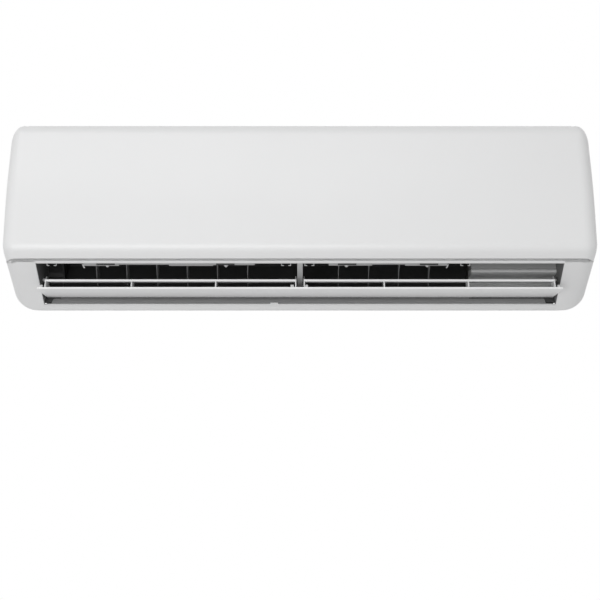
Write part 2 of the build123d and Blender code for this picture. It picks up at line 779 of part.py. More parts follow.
def make_return_bends(x, direction, pipe_row=None):
    """Copper U-bends between neighbouring tubes, brazed on outside an end plate.

    The lower bend of pipe_row is left out, because a pipe starts there.
    """
    with BuildPart() as return_bends:
        for row, ((depth, level), (run, rise)) in enumerate(bend_rows):
            for step in (-1,) if row == pipe_row else (-1, 1):
                middle_depth = depth + step * run * tube_pitch
                middle_level = level + step * rise * tube_pitch
                half = tube_pitch / 2
                centre = Vector(spot(x, middle_depth, middle_level))
                along = Vector(0, -run, rise)
                out = Vector(direction, 0, 0)
                corners = [centre - along * half, centre - along * half + out * bend_reach,
                           centre + along * half + out * bend_reach, centre + along * half]
                roundings = [(*corners[1], half * 0.7), (*corners[2], half * 0.7)]
                add(tube(chords(corners, roundings, 1), tube_radius, 8))
    return return_bends.part


# ---- refrigerant pipes ------------------------------------------------------------------------
gas_pipe_radius = 6.35
liquid_pipe_radius = 3.175
pipe_end_x = -60.0
gas_place = (44, 44)
liquid_place = (26, 22)
gas_riser_x = 326.0
liquid_riser_x = 342.0


def make_pipe(points, radius, bend_radius):
    """A bent copper pipe through the given points."""
    bends = [(*point, bend_radius) for point in points[1:-1]]
    return tube(chords(points, bends, 2), radius, 12)


def make_gas_pipe():
    """From the rear pack down behind the motor and along the channel."""
    start_depth, start_level = 51.8, 241.9
    points = [spot(coil_right + coil_plate, start_depth, start_level),
              spot(gas_riser_x, start_depth, start_level),
              spot(gas_riser_x, start_depth, 150),
              spot(gas_riser_x, gas_place[0], 100),
              spot(gas_riser_x, *gas_place),
              spot(pipe_end_x, *gas_place)]
    return make_pipe(points, gas_pipe_radius, 18)


def make_liquid_pipe():
    """From the top of the front coil down behind the motor and along the channel."""
    start_depth, start_level = 116, 273
    points = [spot(coil_right + coil_plate, start_depth, start_level),
              spot(liquid_riser_x, start_depth, start_level),
              spot(liquid_riser_x, liquid_place[0], start_level),
              spot(liquid_riser_x, *liquid_place),
              spot(pipe_end_x, *liquid_place)]
    return make_pipe(points, liquid_pipe_radius, 14)


def make_union(place, hexagon, thread_radius, thread_length):
    """Brass flare union: hexagon and a round end that stands for its thread."""
    hexagon_length = 12
    with BuildPart() as union:
        with BuildSketch(across(pipe_end_x)):
            with Locations(at(*place)):
                RegularPolygon(hexagon / 2, 6, major_radius=False)
        extrude(amount=-hexagon_length)
        add(round_rod(pipe_end_x - hexagon_length - thread_length, *place, thread_radius, thread_length))
    return union.part


def make_pipe_clamp():
    """Bored block in the channel that holds both pipes against the rear wall."""
    x_from, x_to = 200, 214
    clamp_outline = [(14, 14), (38, 14), (42, 32), (58, 34), (60, 56), (40, 60), (22, 60), (16.25, 80),
                     (13.25, 80), (13.25, 56)]
    with BuildPart() as pipe_clamp:
        add(side_prism(clamp_outline, x_from=x_from, x_to=x_to))
        add(bore(x_from, *gas_place, gas_pipe_radius + running_gap, x_to - x_from, 12), mode=Mode.SUBTRACT)
        add(bore(x_from, *liquid_place, liquid_pipe_radius + running_gap, x_to - x_from, 12),
            mode=Mode.SUBTRACT)
    return pipe_clamp.part


# ---- air filters ------------------------------------------------------------------------------
filter_path = [(206.2, 139.4), (189.6, 206), (179.6, 227.5), (116.5, 297), (102, 301), (44, 301)]
filter_frame = 2.4
filter_net = 0.6
filter_rib = 4.0
filter_cells = 4


def make_air_filter(x_from, x_to):
    """Curved frame with a grid of ribs and a fine net between them."""
    with BuildPart() as air_filter:
        add(side_sheet(filter_path, filter_frame, x_from, x_to))
        cell = (x_to - x_from - filter_rib) / filter_cells
        bands = [(143, 202), (208, 246), (252, 290)]
        with BuildSketch(Plane.XZ.offset(90)):
            for number in range(filter_cells):
                middle = x_from + filter_rib / 2 + cell * (number + 0.5)
                for low, high in bands:
                    with Locations((middle, underside + (low + high) / 2)):
                        Rectangle(cell - filter_rib, high - low)
        extrude(amount=140, mode=Mode.SUBTRACT)
        with BuildSketch(Plane.XY.offset(underside + 280)):
            for number in range(filter_cells):
                middle = x_from + filter_rib / 2 + cell * (number + 0.5)
                with Locations((middle, -73)):
                    Rectangle(cell - filter_rib, 46)
        extrude(amount=40, mode=Mode.SUBTRACT)
        add(side_sheet(filter_path, filter_net, x_from, x_to))
    return air_filter.part


# ---- guide louvre -----------------------------------------------------------------------------
vane_front = (190, 50.5)
vane_rear = (159, 44.5)
louver_pin_radius = 3.0
louver_arm_radius = 6.0
flap_bulge = 2.0
quarter_bulge = 0.75 * flap_bulge
flap_slope = (flap_front[1] - flap_rear[1]) / (flap_front[0] - flap_rear[0])


def make_louver_flap():
    """Wide lower flap, gently convex below, with ribs above it and a pin arm at each end and the middle."""
    outer_front = at(*flap_front)
    outer_rear = at(*flap_rear)
    middle_depth = (flap_front[0] + flap_rear[0]) / 2
    middle_level = (flap_front[1] + flap_rear[1]) / 2
    with BuildPart() as louver_flap:
        with BuildSketch(across(-flap_half_length)) as section:
            with BuildLine():
                Polyline(outer_rear, at(middle_depth - 24, middle_level - 24 * flap_slope - quarter_bulge),
                         at(middle_depth, middle_level - flap_bulge),
                         at(middle_depth + 24, middle_level + 24 * flap_slope - quarter_bulge), outer_front)
                Line(outer_front, at(flap_front[0] - 0.8, flap_front[1] + flap_thickness))
                Polyline(at(flap_front[0] - 0.8, flap_front[1] + flap_thickness),
                         at(middle_depth, middle_level - flap_bulge + flap_thickness),
                         at(flap_rear[0] - 0.2, flap_rear[1] + 1.6))
                Line(at(flap_rear[0] - 0.2, flap_rear[1] + 1.6), outer_rear)
            make_face()
        extrude(amount=2 * flap_half_length)
        for place in rib_places:
            for side in (-1, 1):
                x = side * place - 1
                add(side_prism(rib_outline, x_from=x, x_to=x + 2))
        for x in (-flap_half_length + 2, -rib_places[0] - 1, rib_places[0] - 1, flap_half_length - 4):
            add(side_prism(arm_outline, x_from=x, x_to=x + 2))
            add(rod(x, *louver_pivot, louver_arm_radius, 2))
        add(round_rod(-outlet_half_width - 2, *louver_pivot, louver_pin_radius,
                      outlet_half_width + 4 - flap_half_length))
        for x in (-rib_places[0] + 1, rib_places[0] - 5):
            add(rod(x, *louver_pivot, louver_pin_radius, 4))
        add(bore(flap_half_length - 5, *louver_pivot, motor_pin_radius, 4), mode=Mode.SUBTRACT)
    return louver_flap.part


rib_outline = [(150, 26.5), (198, 34.2), (188, 49.2), (161, 43.8)]
arm_outline = [(128, 51), (126, 22.8), (160, 28.2), (140, 51)]
motor_pin_radius = 2.5


def make_louver_vane(x_from, x_to):
    """Narrow second vane above the flap, snapped on the ribs."""
    with BuildPart() as louver_vane:
        with BuildSketch(across(x_from)):
            with BuildLine():
                Polyline(at(*vane_rear), at(175, 46.6), at(*vane_front))
                Line(at(*vane_front), at(vane_front[0] - 0.5, vane_front[1] + 2))
                Polyline(at(vane_front[0] - 0.5, vane_front[1] + 2), at(174.6, 48.6),
                         at(vane_rear[0], vane_rear[1] + 1.2))
                Line(at(vane_rear[0], vane_rear[1] + 1.2), at(*vane_rear))
            make_face()
        extrude(amount=x_to - x_from)
        for place in rib_places:
            for side in (-1, 1):
                x = side * place - 1
                if x_from < x < x_to:
                    add(side_prism(rib_outline, x_from=x, x_to=x + 2), mode=Mode.SUBTRACT)
    return louver_vane.part


def make_louver_bushes():
    """Plain bushes for the louvre's pins: one in the left side of the outlet, one in the centre post."""
    with BuildPart() as louver_bushes:
        for x_from, x_to in ((-outlet_half_width - wall, -outlet_half_width), (-post_half, post_half)):
            add(rod(x_from, *louver_pivot, bush_hole, x_to - x_from))
        add(bore(-width / 2, *louver_pivot, louver_pin_radius + running_gap, width), mode=Mode.SUBTRACT)
    return louver_bushes.part


louver_motor_x = outlet_half_width + wall
louver_motor_radius = 14.0
louver_motor_length = 19.0


def make_louver_motor():
    """Flat geared step motor with two ears and a wire outlet."""
    depth, level = louver_pivot
    with BuildPart() as louver_motor:
        add(rod(louver_motor_x, depth, level, louver_motor_radius, louver_motor_length))
        add(plate_box(louver_motor_x, louver_motor_x + 1.2, depth - 22, depth + 22, level - 4, level + 4))
        for side in (-1, 1):
            add(rod(louver_motor_x - 1, depth + side * 18, level, 1.8, 4, 8), mode=Mode.SUBTRACT)
        add(plate_box(louver_motor_x + 2, louver_motor_x + 16, depth - 17, depth - 12, level - 6, level + 6))
        add(rod(louver_motor_x - 0.5, depth, level, 4.5, 0.5))
        add(bore(louver_motor_x - 1, depth, level, motor_pin_radius + running_gap, 12), mode=Mode.SUBTRACT)
    return louver_motor.part


def make_louver_shaft():
    """Output shaft of the step motor, held in the flap's arm."""
    with BuildPart() as louver_shaft:
        start = flap_half_length - 4
        add(round_rod(start, *louver_pivot, motor_pin_radius, louver_motor_x + 9 - start))
    return louver_shaft.part


# ---- vertical vanes ---------------------------------------------------------------------------
bar_thickness = 2.0
bar_from = 4.0
bar_to = 40.0
vane_pin_radius = 1.5
vane_gap = 0.3
tie_pin_radius = 1.0
tie_bar_width = 5.0
tie_bar_thickness = 2.0
tie_notch = 3.0                 # half height of the notch for the tie bar
vane_shape = [(2, 3.5), (30, 3.5), (14, 34), (0, 42), (-8, 36), (-6, 14)]


def vane_places(start, count):
    """Places along the unit of one bank of vanes."""
    return [start + number * vane_pitch for number in range(count)]


def make_vane_bar(places):
    """Bar under the drain pan that holds the vane pivots, with a front lip."""
    x_from = places[0] - 19
    x_to = places[-1] + 19
    with BuildPart() as vane_bar:
        strip = [duct_at(bar_from, 0), duct_at(bar_to, 0), duct_at(bar_to, 7), duct_at(bar_to - 2, 7),
                 duct_at(bar_to - 2, bar_thickness), duct_at(bar_from, bar_thickness)]
        add(side_prism(strip, x_from=x_from, x_to=x_to))
        for x in places:
            with BuildSketch(duct_plane(x, vane_pin_place, 0)):
                RegularPolygon(vane_pin_radius + running_gap, flats, major_radius=False)
            extrude(amount=bar_thickness + 1, mode=Mode.SUBTRACT)
    return vane_bar.part


def make_vertical_vane(x):
    """Leaf-shaped blade with a pivot stub on top and a notched pin for the tie bar behind."""
    with BuildPart() as vertical_vane:
        with BuildSketch(across(x - vane_thickness / 2)) as leaf:
            with BuildLine():
                Polyline(*[at(*duct_at(*point)) for point in vane_shape], close=True)
            make_face()
            chamfer(leaf.vertices(), 1.5)
        extrude(amount=vane_thickness)
        notch_from, notch_to = tie_pin_place - 12, tie_pin_place + 6
        notch_top, notch_foot = tie_pin_level - tie_notch, tie_pin_level + tie_notch
        notch = [(notch_from, notch_top), (notch_to, notch_top), (notch_to, notch_foot), (notch_from, notch_foot)]
        add(side_prism([duct_at(*point) for point in notch], x_from=x - 5, x_to=x + 5), mode=Mode.SUBTRACT)
        with BuildSketch(duct_plane(x, tie_pin_place, tie_pin_level - tie_notch - 1)):
            RegularPolygon(tie_pin_radius, 8)
        extrude(amount=2 * tie_notch + 2)
        with BuildSketch(duct_plane(x, vane_pin_place, bar_thickness + vane_gap)):
            RegularPolygon(3.2, 8)
        extrude(amount=4)
        with BuildSketch(duct_plane(x, vane_pin_place, vane_gap)):
            Circle(vane_pin_radius)
        extrude(amount=4)
    return vertical_vane.part


def make_tie_bar(places):
    """Strip through the notches of a bank, with a hole for each vane's pin."""
    low = tie_pin_level - tie_bar_thickness / 2
    with BuildPart() as tie_bar:
        strip = [(tie_pin_place - tie_bar_width / 2, low), (tie_pin_place + tie_bar_width / 2, low),
                 (tie_pin_place + tie_bar_width / 2, low + tie_bar_thickness),
                 (tie_pin_place - tie_bar_width / 2, low + tie_bar_thickness)]
        add(side_prism([duct_at(*point) for point in strip], x_from=places[0] - 6, x_to=places[-1] + 6))
        for x in places:
            with BuildSketch(duct_plane(x, tie_pin_place, low - 1)):
                RegularPolygon(tie_pin_radius + running_gap, 8, major_radius=False)
            extrude(amount=tie_bar_thickness + 2, mode=Mode.SUBTRACT)
    return tie_bar.part


# ---- control box and display ------------------------------------------------------------------
box_x = (378.0, 462.0)
box_depth = (rear_wall_depth + wall / 2, 150.0)
box_level = (106.0, 284.0)
box_sheet = 1.2
board_x = 386.0
board_thickness = 1.6


def make_control_box():
    """Open sheet box with a hole for the wires and four stand-offs for the board."""
    with BuildPart() as control_box:
        add(plate_box(*box_x, *box_depth, *box_level))
        front = control_box.faces().sort_by(Axis.Y)[0]
        offset(amount=-box_sheet, openings=front)
        for depth in (34, 132):
            for level in (160, 268):
                add(rod(box_x[0] + box_sheet, depth, level, 3, board_x - box_x[0] - box_sheet, 8))
        add(rod(box_x[0] - 1, 100, 130, 9, 4), mode=Mode.SUBTRACT)
    return control_box.part


def make_control_box_cover():
    """Lid with a turned edge all round and a raised panel."""
    near = box_depth[1]
    with BuildPart() as control_box_cover:
        add(plate_box(box_x[0], box_x[1], near, near + box_sheet, *box_level))
        with BuildSketch(Plane.XZ.offset(near + box_sheet)):
            with Locations(((box_x[0] + box_x[1]) / 2, underside + (box_level[0] + box_level[1]) / 2)):
                Rectangle(60, 150)
        extrude(amount=3, taper=40)
    return control_box_cover.part


def make_main_board():
    """Circuit board on the stand-offs, with its relay and a row of connectors."""
    with BuildPart() as main_board:
        add(plate_box(board_x, board_x + board_thickness, 26, 140, 152, 276))
        add(plate_box(board_x + board_thickness, board_x + 24, 36, 66, 166, 192))
        for level in (162, 184, 206):
            add(plate_box(board_x + board_thickness, board_x + 9, 122, 134, level, level + 16))
    return main_board.part


def make_run_capacitor():
    """Box capacitor on the board with two lugs."""
    foot = board_x + board_thickness
    with BuildPart() as run_capacitor:
        add(plate_box(foot, foot + 40, 70, 98, 222, 270))
        for level in (232, 256):
            add(plate_box(foot + 40, foot + 47, 81, 87, level, level + 1))
    return run_capacitor.part


def make_terminal_block():
    """Row of wire clamps on the floor of the box."""
    low = box_level[0] + box_sheet
    with BuildPart() as terminal_block:
        add(plate_box(388, 452, 112, 144, low, low + 10))
        for number in range(5):
            x = 390 + number * 12.5
            add(plate_box(x, x + 9.5, 118, 138, low + 10, low + 20))
    return terminal_block.part


def make_display_holder():
    """Box behind the case frame with a bore for the button and a window for the receiver."""
    with BuildPart() as display_holder:
        add(plate_box(*display_x, *display_depth, *display_level))
        middle = (display_level[0] + display_level[1]) / 2
        with BuildSketch(Plane.XZ.offset(display_depth[1])):
            with Locations((button_x, underside + middle)):
                RegularPolygon(button_radius + running_gap, flats, major_radius=False)
        extrude(amount=-10, mode=Mode.SUBTRACT)
        with BuildSketch(Plane.XZ.offset(display_depth[1])):
            with Locations((375, underside + middle)):
                Rectangle(50, 14)
        extrude(amount=-4, mode=Mode.SUBTRACT)
    return display_holder.part


def make_receiver_window():
    """Tinted lens over the receiver and the lamps."""
    middle = (display_level[0] + display_level[1]) / 2
    with BuildPart() as receiver_window:
        with BuildSketch(Plane.XZ.offset(display_depth[1] - 4)):
            with Locations((375, underside + middle)):
                Rectangle(50, 14)
        extrude(amount=4)
        with BuildSketch(Plane.XZ.offset(display_depth[1])):
            with Locations((375, underside + middle)):
                Rectangle(44, 10)
        extrude(amount=1.5, taper=30)
    return receiver_window.part


def make_emergency_button():
    """Push button that starts the unit without the controller."""
    middle = (display_level[0] + display_level[1]) / 2
    with BuildPart() as emergency_button:
        with BuildSketch(Plane.XZ.offset(display_depth[1] - 10 + button_travel + 1)):
            with Locations((button_x, underside + middle)):
                RegularPolygon(button_radius, flats)
        extrude(amount=13.9)
        face = emergency_button.faces().sort_by(Axis.Y)[0]
        chamfer(face.edges(), 0.6)
    return emergency_button.part


def make_temperature_sensors():
    """Two thermistors on the right end plate: a clipped one for the room air, a sleeved one for the coil."""
    x = coil_right + coil_plate
    with BuildPart() as temperature_sensors:
        add(plate_box(x, x + 2, 175, 185, 160, 168))
        add(rod(x, 180, 164, 3, 16, 12))
        add(rod(x, 150, 235.5, 4, 26, 12))
    return temperature_sensors.part


# ---- all pieces -------------------------------------------------------------------------------
left_places = vane_places(left_bank_start, left_bank_count)
right_places = vane_places(right_bank_start, right_bank_count)
filter_gap = 3.0

pieces = {
    "wall_plate": make_wall_plate(),
    "chassis": make_chassis(),
    "front_case": make_front_case(),
    "front_panel": make_front_panel(),
    "drain_pan": make_drain_pan(),
    "drain_outlet": make_drain_outlet(),
    "drain_plug": make_drain_plug(),
    "cross_flow_fan": make_cross_flow_fan(),
    "fan_stub_shaft": make_fan_stub_shaft(),
    "fan_bearing": make_fan_bearing(),
    "bearing_holder": make_bearing_holder(),
    "fan_motor": make_fan_motor(),
    "motor_shaft": make_motor_shaft(),
    "motor_clamp": make_motor_clamp(),
    "coil_front_lower": make_fin_pack(front_lower_pack),
    "coil_front_upper": make_fin_pack(front_upper_pack),
    "coil_rear": make_fin_pack(rear_pack),
    "coil_end_plate_left": make_coil_end_plate(coil_left - coil_plate),
    "coil_end_plate_right": make_coil_end_plate(coil_right),
    "return_bends_left": make_return_bends(coil_left - coil_plate, -1),
    "return_bends_right": make_return_bends(coil_right + coil_plate, 1, pipe_row=2),
    "gas_pipe": make_gas_pipe(),
    "liquid_pipe": make_liquid_pipe(),
    "gas_union": make_union(gas_place, 22, 9.5, 16),
    "liquid_union": make_union(liquid_place, 14, 5.5, 13),
    "pipe_clamp": make_pipe_clamp(),
    "air_filter_left": make_air_filter(filter_window[0] + 2, -filter_gap),
    "air_filter_right": make_air_filter(filter_gap, filter_window[1] - 2),
    "louver_flap": make_louver_flap(),
    "louver_vane_left": make_louver_vane(-rib_places[-1] - 4, 1 - rib_places[0]),
    "louver_vane_right": make_louver_vane(rib_places[0] - 1, rib_places[-1] + 4),
    "louver_bushes": make_louver_bushes(),
    "louver_motor": make_louver_motor(),
    "louver_shaft": make_louver_shaft(),
    "vane_bar_left": make_vane_bar(left_places),
    "vane_bar_right": make_vane_bar(right_places),
    "tie_bar_left": make_tie_bar(left_places),
    "tie_bar_right": make_tie_bar(right_places),
    "control_box": make_control_box(),
    "control_box_cover": make_control_box_cover(),
    "main_board": make_main_board(),
    "run_capacitor": make_run_capacitor(),
    "terminal_block": make_terminal_block(),
    "display_holder": make_display_holder(),
    "receiver_window": make_receiver_window(),
    "emergency_button": make_emergency_button(),
    "temperature_sensors": make_temperature_sensors(),
}
for bank, places in (("left", left_places), ("right", right_places)):
    for number, place in enumerate(places, start=1):
        pieces[f"vane_{bank}_{number}"] = make_vertical_vane(place)

for name, piece in pieces.items():
    piece.label = name
    export_step(piece, f"parts/{name}.step")
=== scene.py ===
"""Wall unit of a split air conditioner: finishes, fine pieces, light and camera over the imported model.

Points of the side section are pairs of depth from the wall and height above the lowest edge, in
millimetres, as on the drawing of the housing. spot() turns them into the frame's metres.
"""
import json
import math

import bmesh
import bpy
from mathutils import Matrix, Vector


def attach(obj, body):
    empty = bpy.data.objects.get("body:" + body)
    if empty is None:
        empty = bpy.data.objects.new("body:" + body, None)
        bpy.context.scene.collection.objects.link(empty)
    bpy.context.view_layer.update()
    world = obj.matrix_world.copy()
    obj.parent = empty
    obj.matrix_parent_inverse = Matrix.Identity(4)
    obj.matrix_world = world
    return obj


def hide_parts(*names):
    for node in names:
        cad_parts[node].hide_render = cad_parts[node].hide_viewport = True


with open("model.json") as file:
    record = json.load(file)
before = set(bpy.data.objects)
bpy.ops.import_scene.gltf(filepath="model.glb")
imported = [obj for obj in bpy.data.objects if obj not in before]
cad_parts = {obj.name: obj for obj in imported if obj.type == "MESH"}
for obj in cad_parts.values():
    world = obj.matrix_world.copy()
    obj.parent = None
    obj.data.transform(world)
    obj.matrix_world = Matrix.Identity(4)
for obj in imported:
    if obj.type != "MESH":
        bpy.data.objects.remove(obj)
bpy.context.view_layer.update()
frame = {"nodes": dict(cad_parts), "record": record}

# ---- sizes, in millimetres ----
mm = 0.001
underside = -165.0  # level of the unit's lowest edge in the frame
half_width = 485.0
past_ends = (-500.0, 500.0)  # span of the cutters that run right through the unit
skin = 2.5  # wall thickness of the mouldings
end_rounding = 22.0
lower_corner = 41.0  # radius of the two lower corners, seen from the front
upper_corner_reach = 20.0  # width of the two upper corners, which are not round
upper_corner_fall = 34.0  # and their height
corner_height = 110.0  # height over which the shape of a corner fades out
corner_fade = 1.5  # how soon it fades
panel_gap = 0.6
case_outline = [(6, 310), (158, 310), (203, 200), (227, 100), (214, 80.2), (110, 0), (62, 0),
                (6, 44)]
case_radii = {1: 30.0, 2: 650.0, 3: 24.0, 4: 40.0, 5: 12.0}  # of its numbered corners
corner_steps = {1: 10, 2: 14, 3: 10, 4: 6, 5: 6}
panel_seam = [(136, 330), (136, 270), (172, 150), (176, 78.5), (205, 80), (214, 82.5), (224, 85),
              (250, 86), (250, 330)]
panel_pivot = (136.0, 304.5)
louver_pivot = (134.0, 51.0)
louver_pin = 3.0
louver_pin_hole = 5.0
fan_centre = (103.0, 127.0)
outlet_half = 431.0
duct_start = (154.0, 100.0)
duct_mouth = (204.0, 80.0)
vane_places = {"left": [-338 + 50.2 * number for number in range(6)],
               "right": [64 + 50.2 * number for number in range(4)]}


def spot(x, depth, level):
    """A point of the unit, in metres."""
    return Vector((x * mm, -depth * mm, (underside + level) * mm))


def corner_arc(before, here, after, radius, count):
    """Points of the arc that eases the corner at here, in the section or in space."""
    start = (before - here).normalized()
    end = (after - here).normalized()
    turn = math.pi - start.angle(end)
    centre = here + (start + end).normalized() * radius / math.cos(turn / 2)
    start = here + start * radius * math.tan(turn / 2) - centre
    end = here + end * radius * math.tan(turn / 2) - centre
    arc = []
    for step in range(count + 1):
        share = step / count
        swing = start * math.sin((1 - share) * turn) + end * math.sin(share * turn)
        arc.append(centre + swing / math.sin(turn))
    return arc


def rounded(points, radii, steps):
    """The closed outline with its numbered corners as arcs of steps chords, or of steps[number]."""
    corners = [Vector(point) for point in points]
    drawn = []
    for number, here in enumerate(corners):
        arc = [here]
        if radii.get(number):
            count = steps[number] if isinstance(steps, dict) else steps
            after = corners[(number + 1) % len(corners)]
            arc = corner_arc(corners[number - 1], here, after, radii[number], count)
        drawn += [tuple(point) for point in arc]
    return drawn


def moved_edges(points, distances):
    """A clockwise outline with each edge moved inward by its own distance."""
    edges = []
    for number, distance in enumerate(distances):
        here = Vector(points[number])
        run = (Vector(points[(number + 1) % len(points)]) - here).normalized()
        edges.append((here + Vector((run.y, -run.x)) * distance, run))
    corners = []
    for number, (here, run) in enumerate(edges):
        before, back = edges[number - 1]
        across = back.x * run.y - back.y * run.x
        reach = ((here.x - before.x) * run.y - (here.y - before.y) * run.x) / across
        corners.append(tuple(before + back * reach))
    return corners


def hoop(centre, side, axis, radius, sides):
    """Points of a ring round an axis, in metres; side is square to the axis."""
    up = axis.cross(side)
    turns = [math.tau * number / sides for number in range(sides)]
    return [centre + (side * math.cos(turn) + up * math.sin(turn)) * radius * mm for turn in turns]


def around(centre, radius, turn):
    """Section point at an angle round a centre."""
    return centre[0] + radius * math.cos(turn), centre[1] + radius * math.sin(turn)


# ---- mesh forms ----
edge_angle = math.radians(32.0)  # a bend sharper than this is an edge


class Form:
    """A closed mesh that is put together from lofts and cuts and then becomes one piece."""

    def __init__(self):
        self.mesh = bmesh.new()

    def loft(self, rings, loop=False):
        """Skin rings of equally many points, and close both ends unless the row loops."""
        rows = [[self.mesh.verts.new(point) for point in ring] for ring in rings]
        count = len(rows[0])
        pairs = list(zip(rows, rows[1:])) + ([(rows[-1], rows[0])] if loop else [])
        faces = []
        for near, far in pairs:
            for place in range(count):
                after = (place + 1) % count
                faces.append(self.mesh.faces.new((near[place], near[after], far[after], far[place])))
        if not loop:
            faces += [self.mesh.faces.new(rows[0]), self.mesh.faces.new(rows[-1])]
        bmesh.ops.recalc_face_normals(self.mesh, faces=faces)
        return self

    def bar(self, outline, x_from, x_to):
        """A side section drawn out along the unit."""
        return self.loft([[spot(x, *point) for point in outline] for x in (x_from, x_to)])

    def block(self, x_span, depth_span, level_span):
        """A box from three pairs of limits."""
        low, high = level_span
        near, far = depth_span
        return self.bar([(near, low), (far, low), (far, high), (near, high)], *x_span)

    def rod(self, x_from, x_to, centre, radius, sides=40):
        """A round bar along the unit."""
        ring = [around(centre, radius, math.tau * side / sides) for side in range(sides)]
        return self.bar(ring, x_from, x_to)

    def lathe(self, profile, origin, axis, sides=48):
        """A turned shape from pairs of distance along the axis and radius."""
        axis = Vector(axis).normalized()
        side = axis.orthogonal().normalized()
        return self.loft([hoop(origin + axis * along * mm, side, axis, radius, sides)
                          for along, radius in profile])

    def tube(self, path, radius, sides):
        """A round tube along points in metres, with its rings carried on without twist."""
        directions = [(after - before).normalized() for before, after in zip(path, path[1:])]
        tangents = [directions[0]] + [(a + b).normalized() for a, b in zip(directions, directions[1:])]
        tangents.append(directions[-1])
        side = tangents[0].orthogonal().normalized()
        rings = []
        for point, tangent in zip(path, tangents):
            side = (side - tangent * side.dot(tangent)).normalized()
            rings.append(hoop(point, side, tangent, radius, sides))
        return self.loft(rings)

    def shape(self, name):
        """A scene object with this mesh."""
        mesh = bpy.data.meshes.new(name)
        self.mesh.to_mesh(mesh)
        made = bpy.data.objects.new(name, mesh)
        bpy.context.scene.collection.objects.link(made)
        return made

    def change(self, tool, operation):
        """Put the two forms together by a boolean and hold on to the result."""
        base = self.shape("base")
        other = tool.shape("tool")
        step = base.modifiers.new("step", "BOOLEAN")
        step.operation = operation
        step.solver = "EXACT"
        step.object = other
        seen = base.evaluated_get(bpy.context.evaluated_depsgraph_get())
        result = bpy.data.meshes.new_from_object(seen)
        self.mesh = bmesh.new()
        self.mesh.from_mesh(result)
        for made in (base, other):
            bpy.data.objects.remove(made)
        return self

    def cut(self, tool):
        """Take tool away."""
        return self.change(tool, "DIFFERENCE")

    def join(self, tool):
        """Add tool, without faces inside."""
        return self.change(tool, "UNION")

    def keep(self, tool):
        """Keep what lies inside tool too."""
        return self.change(tool, "INTERSECT")

    def piece(self, name, body, slot, replaces=(), soften=0.0, finish=None):
        """The finished piece: edges rounded by soften, smooth faces, the material of finish or else of
        slot, and its body.
        """
        made = self.shape(name)
        made.data.polygons.foreach_set("use_smooth", [True] * len(made.data.polygons))
        made.data.set_sharp_from_angle(angle=edge_angle)
        if soften:
            edges = made.modifiers.new("soften", "BEVEL")
            edges.width = soften * mm
            edges.segments = 2
            edges.limit_method = "ANGLE"
            edges.angle_limit = edge_angle
            edges.harden_normals = True
        made.data.materials.append(finishes[finish or slot])
        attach(made, body)
        if replaces:
            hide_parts(*replaces)
        return made


# ---- shader arithmetic ----
class Signal:
    """A shader socket that adds Math nodes when it is used in a Python expression."""

    def __init__(self, finish, socket):
        self.finish = finish
        self.socket = socket

    def math(self, operation, *values):
        """A Math node over signals and numbers."""
        return self.finish.node("ShaderNodeMath", {"operation": operation}, dict(enumerate(values)))

    def __radd__(self, other):
        return self.math("ADD", other, self)

    def __mul__(self, other):
        return self.math("MULTIPLY", self, other)

    def __lt__(self, other):
        """1 where the signal lies under other."""
        return self.math("LESS_THAN", self, other)

    def __or__(self, other):
        """The larger of two masks."""
        return self.math("MAXIMUM", self, other)

    def teeth(self):
        """A saw line folded to run 0, 0.5, 0 over each whole number."""
        return self.math("PINGPONG", self, 0.5)

    def over(self, limit, width):
        """0 below limit, rising to 1 across width."""
        limits = {"Value": self, "From Min": limit, "From Max": limit + width}
        return self.finish.node("ShaderNodeMapRange", {}, limits)

    def axis(self, name):
        """One of the three parts of a vector."""
        return self.finish.node("ShaderNodeSeparateXYZ", {}, {"Vector": self}, name)


class Finish:
    """One procedural material around a Principled shader, with constants on the shader's own sockets."""

    def __init__(self, name, **constants):
        self.material = bpy.data.materials.new(name)
        self.material.use_nodes = True
        self.tree = self.material.node_tree
        self.shader = self.tree.nodes["Principled BSDF"]
        for socket, value in constants.items():
            self.shader.inputs[socket.replace("_", " ")].default_value = value

    def node(self, kind, settings, inputs, output=0):
        """A new node with its settings and inputs, as the signal of one output."""
        made = self.tree.nodes.new(kind)
        for setting, value in settings.items():
            setattr(made, setting, value)
        for socket, value in inputs.items():
            if isinstance(value, Signal):
                self.tree.links.new(value.socket, made.inputs[socket])
            else:
                made.inputs[socket].default_value = value
        return Signal(self, made.outputs[output])

    def place(self):
        """The point on the object, in metres."""
        return self.node("ShaderNodeTexCoord", {}, {}, "Object")

    def noise(self, scale, detail=3.0, roughness=0.5, stretch=None):
        """Cloudy noise; stretch makes it finer along an axis where it is above 1."""
        point = self.place()
        if stretch:
            point = self.node("ShaderNodeVectorMath", {"operation": "MULTIPLY"}, {0: point, 1: stretch})
        inputs = {"Vector": point, "Scale": scale, "Detail": detail, "Roughness": roughness}
        return self.node("ShaderNodeTexNoise", {}, inputs)

    def blend(self, factor, first, second):
        """A colour between first and second."""
        return self.node("ShaderNodeMix", {"data_type": "RGBA"}, {0: factor, 6: first, 7: second}, 2)

    def feed(self, socket, signal):
        """Drive a socket of the shader."""
        self.tree.links.new(signal.socket, self.shader.inputs[socket])

    def bump(self, height, strength, distance=0.001, edge=0.0):
        """Relief from height, over edges that are rounded by edge metres."""
        inputs = {"Height": height, "Strength": strength, "Distance": distance}
        if edge:
            inputs["Normal"] = self.node("ShaderNodeBevel", {"samples": 4}, {"Radius": edge})
        self.feed("Normal", self.node("ShaderNodeBump", {}, inputs))


def grey(level, tint=0.0):
    """A linear grey, a little cooler with tint."""
    return (level * (1 - tint), level, level * (1 + tint), 1.0)


# ---- finishes ----
def darkened(colour, share):
    """The colour with its three channels taken down to share."""
    return tuple(channel * share for channel in colour[:3]) + (1.0,)


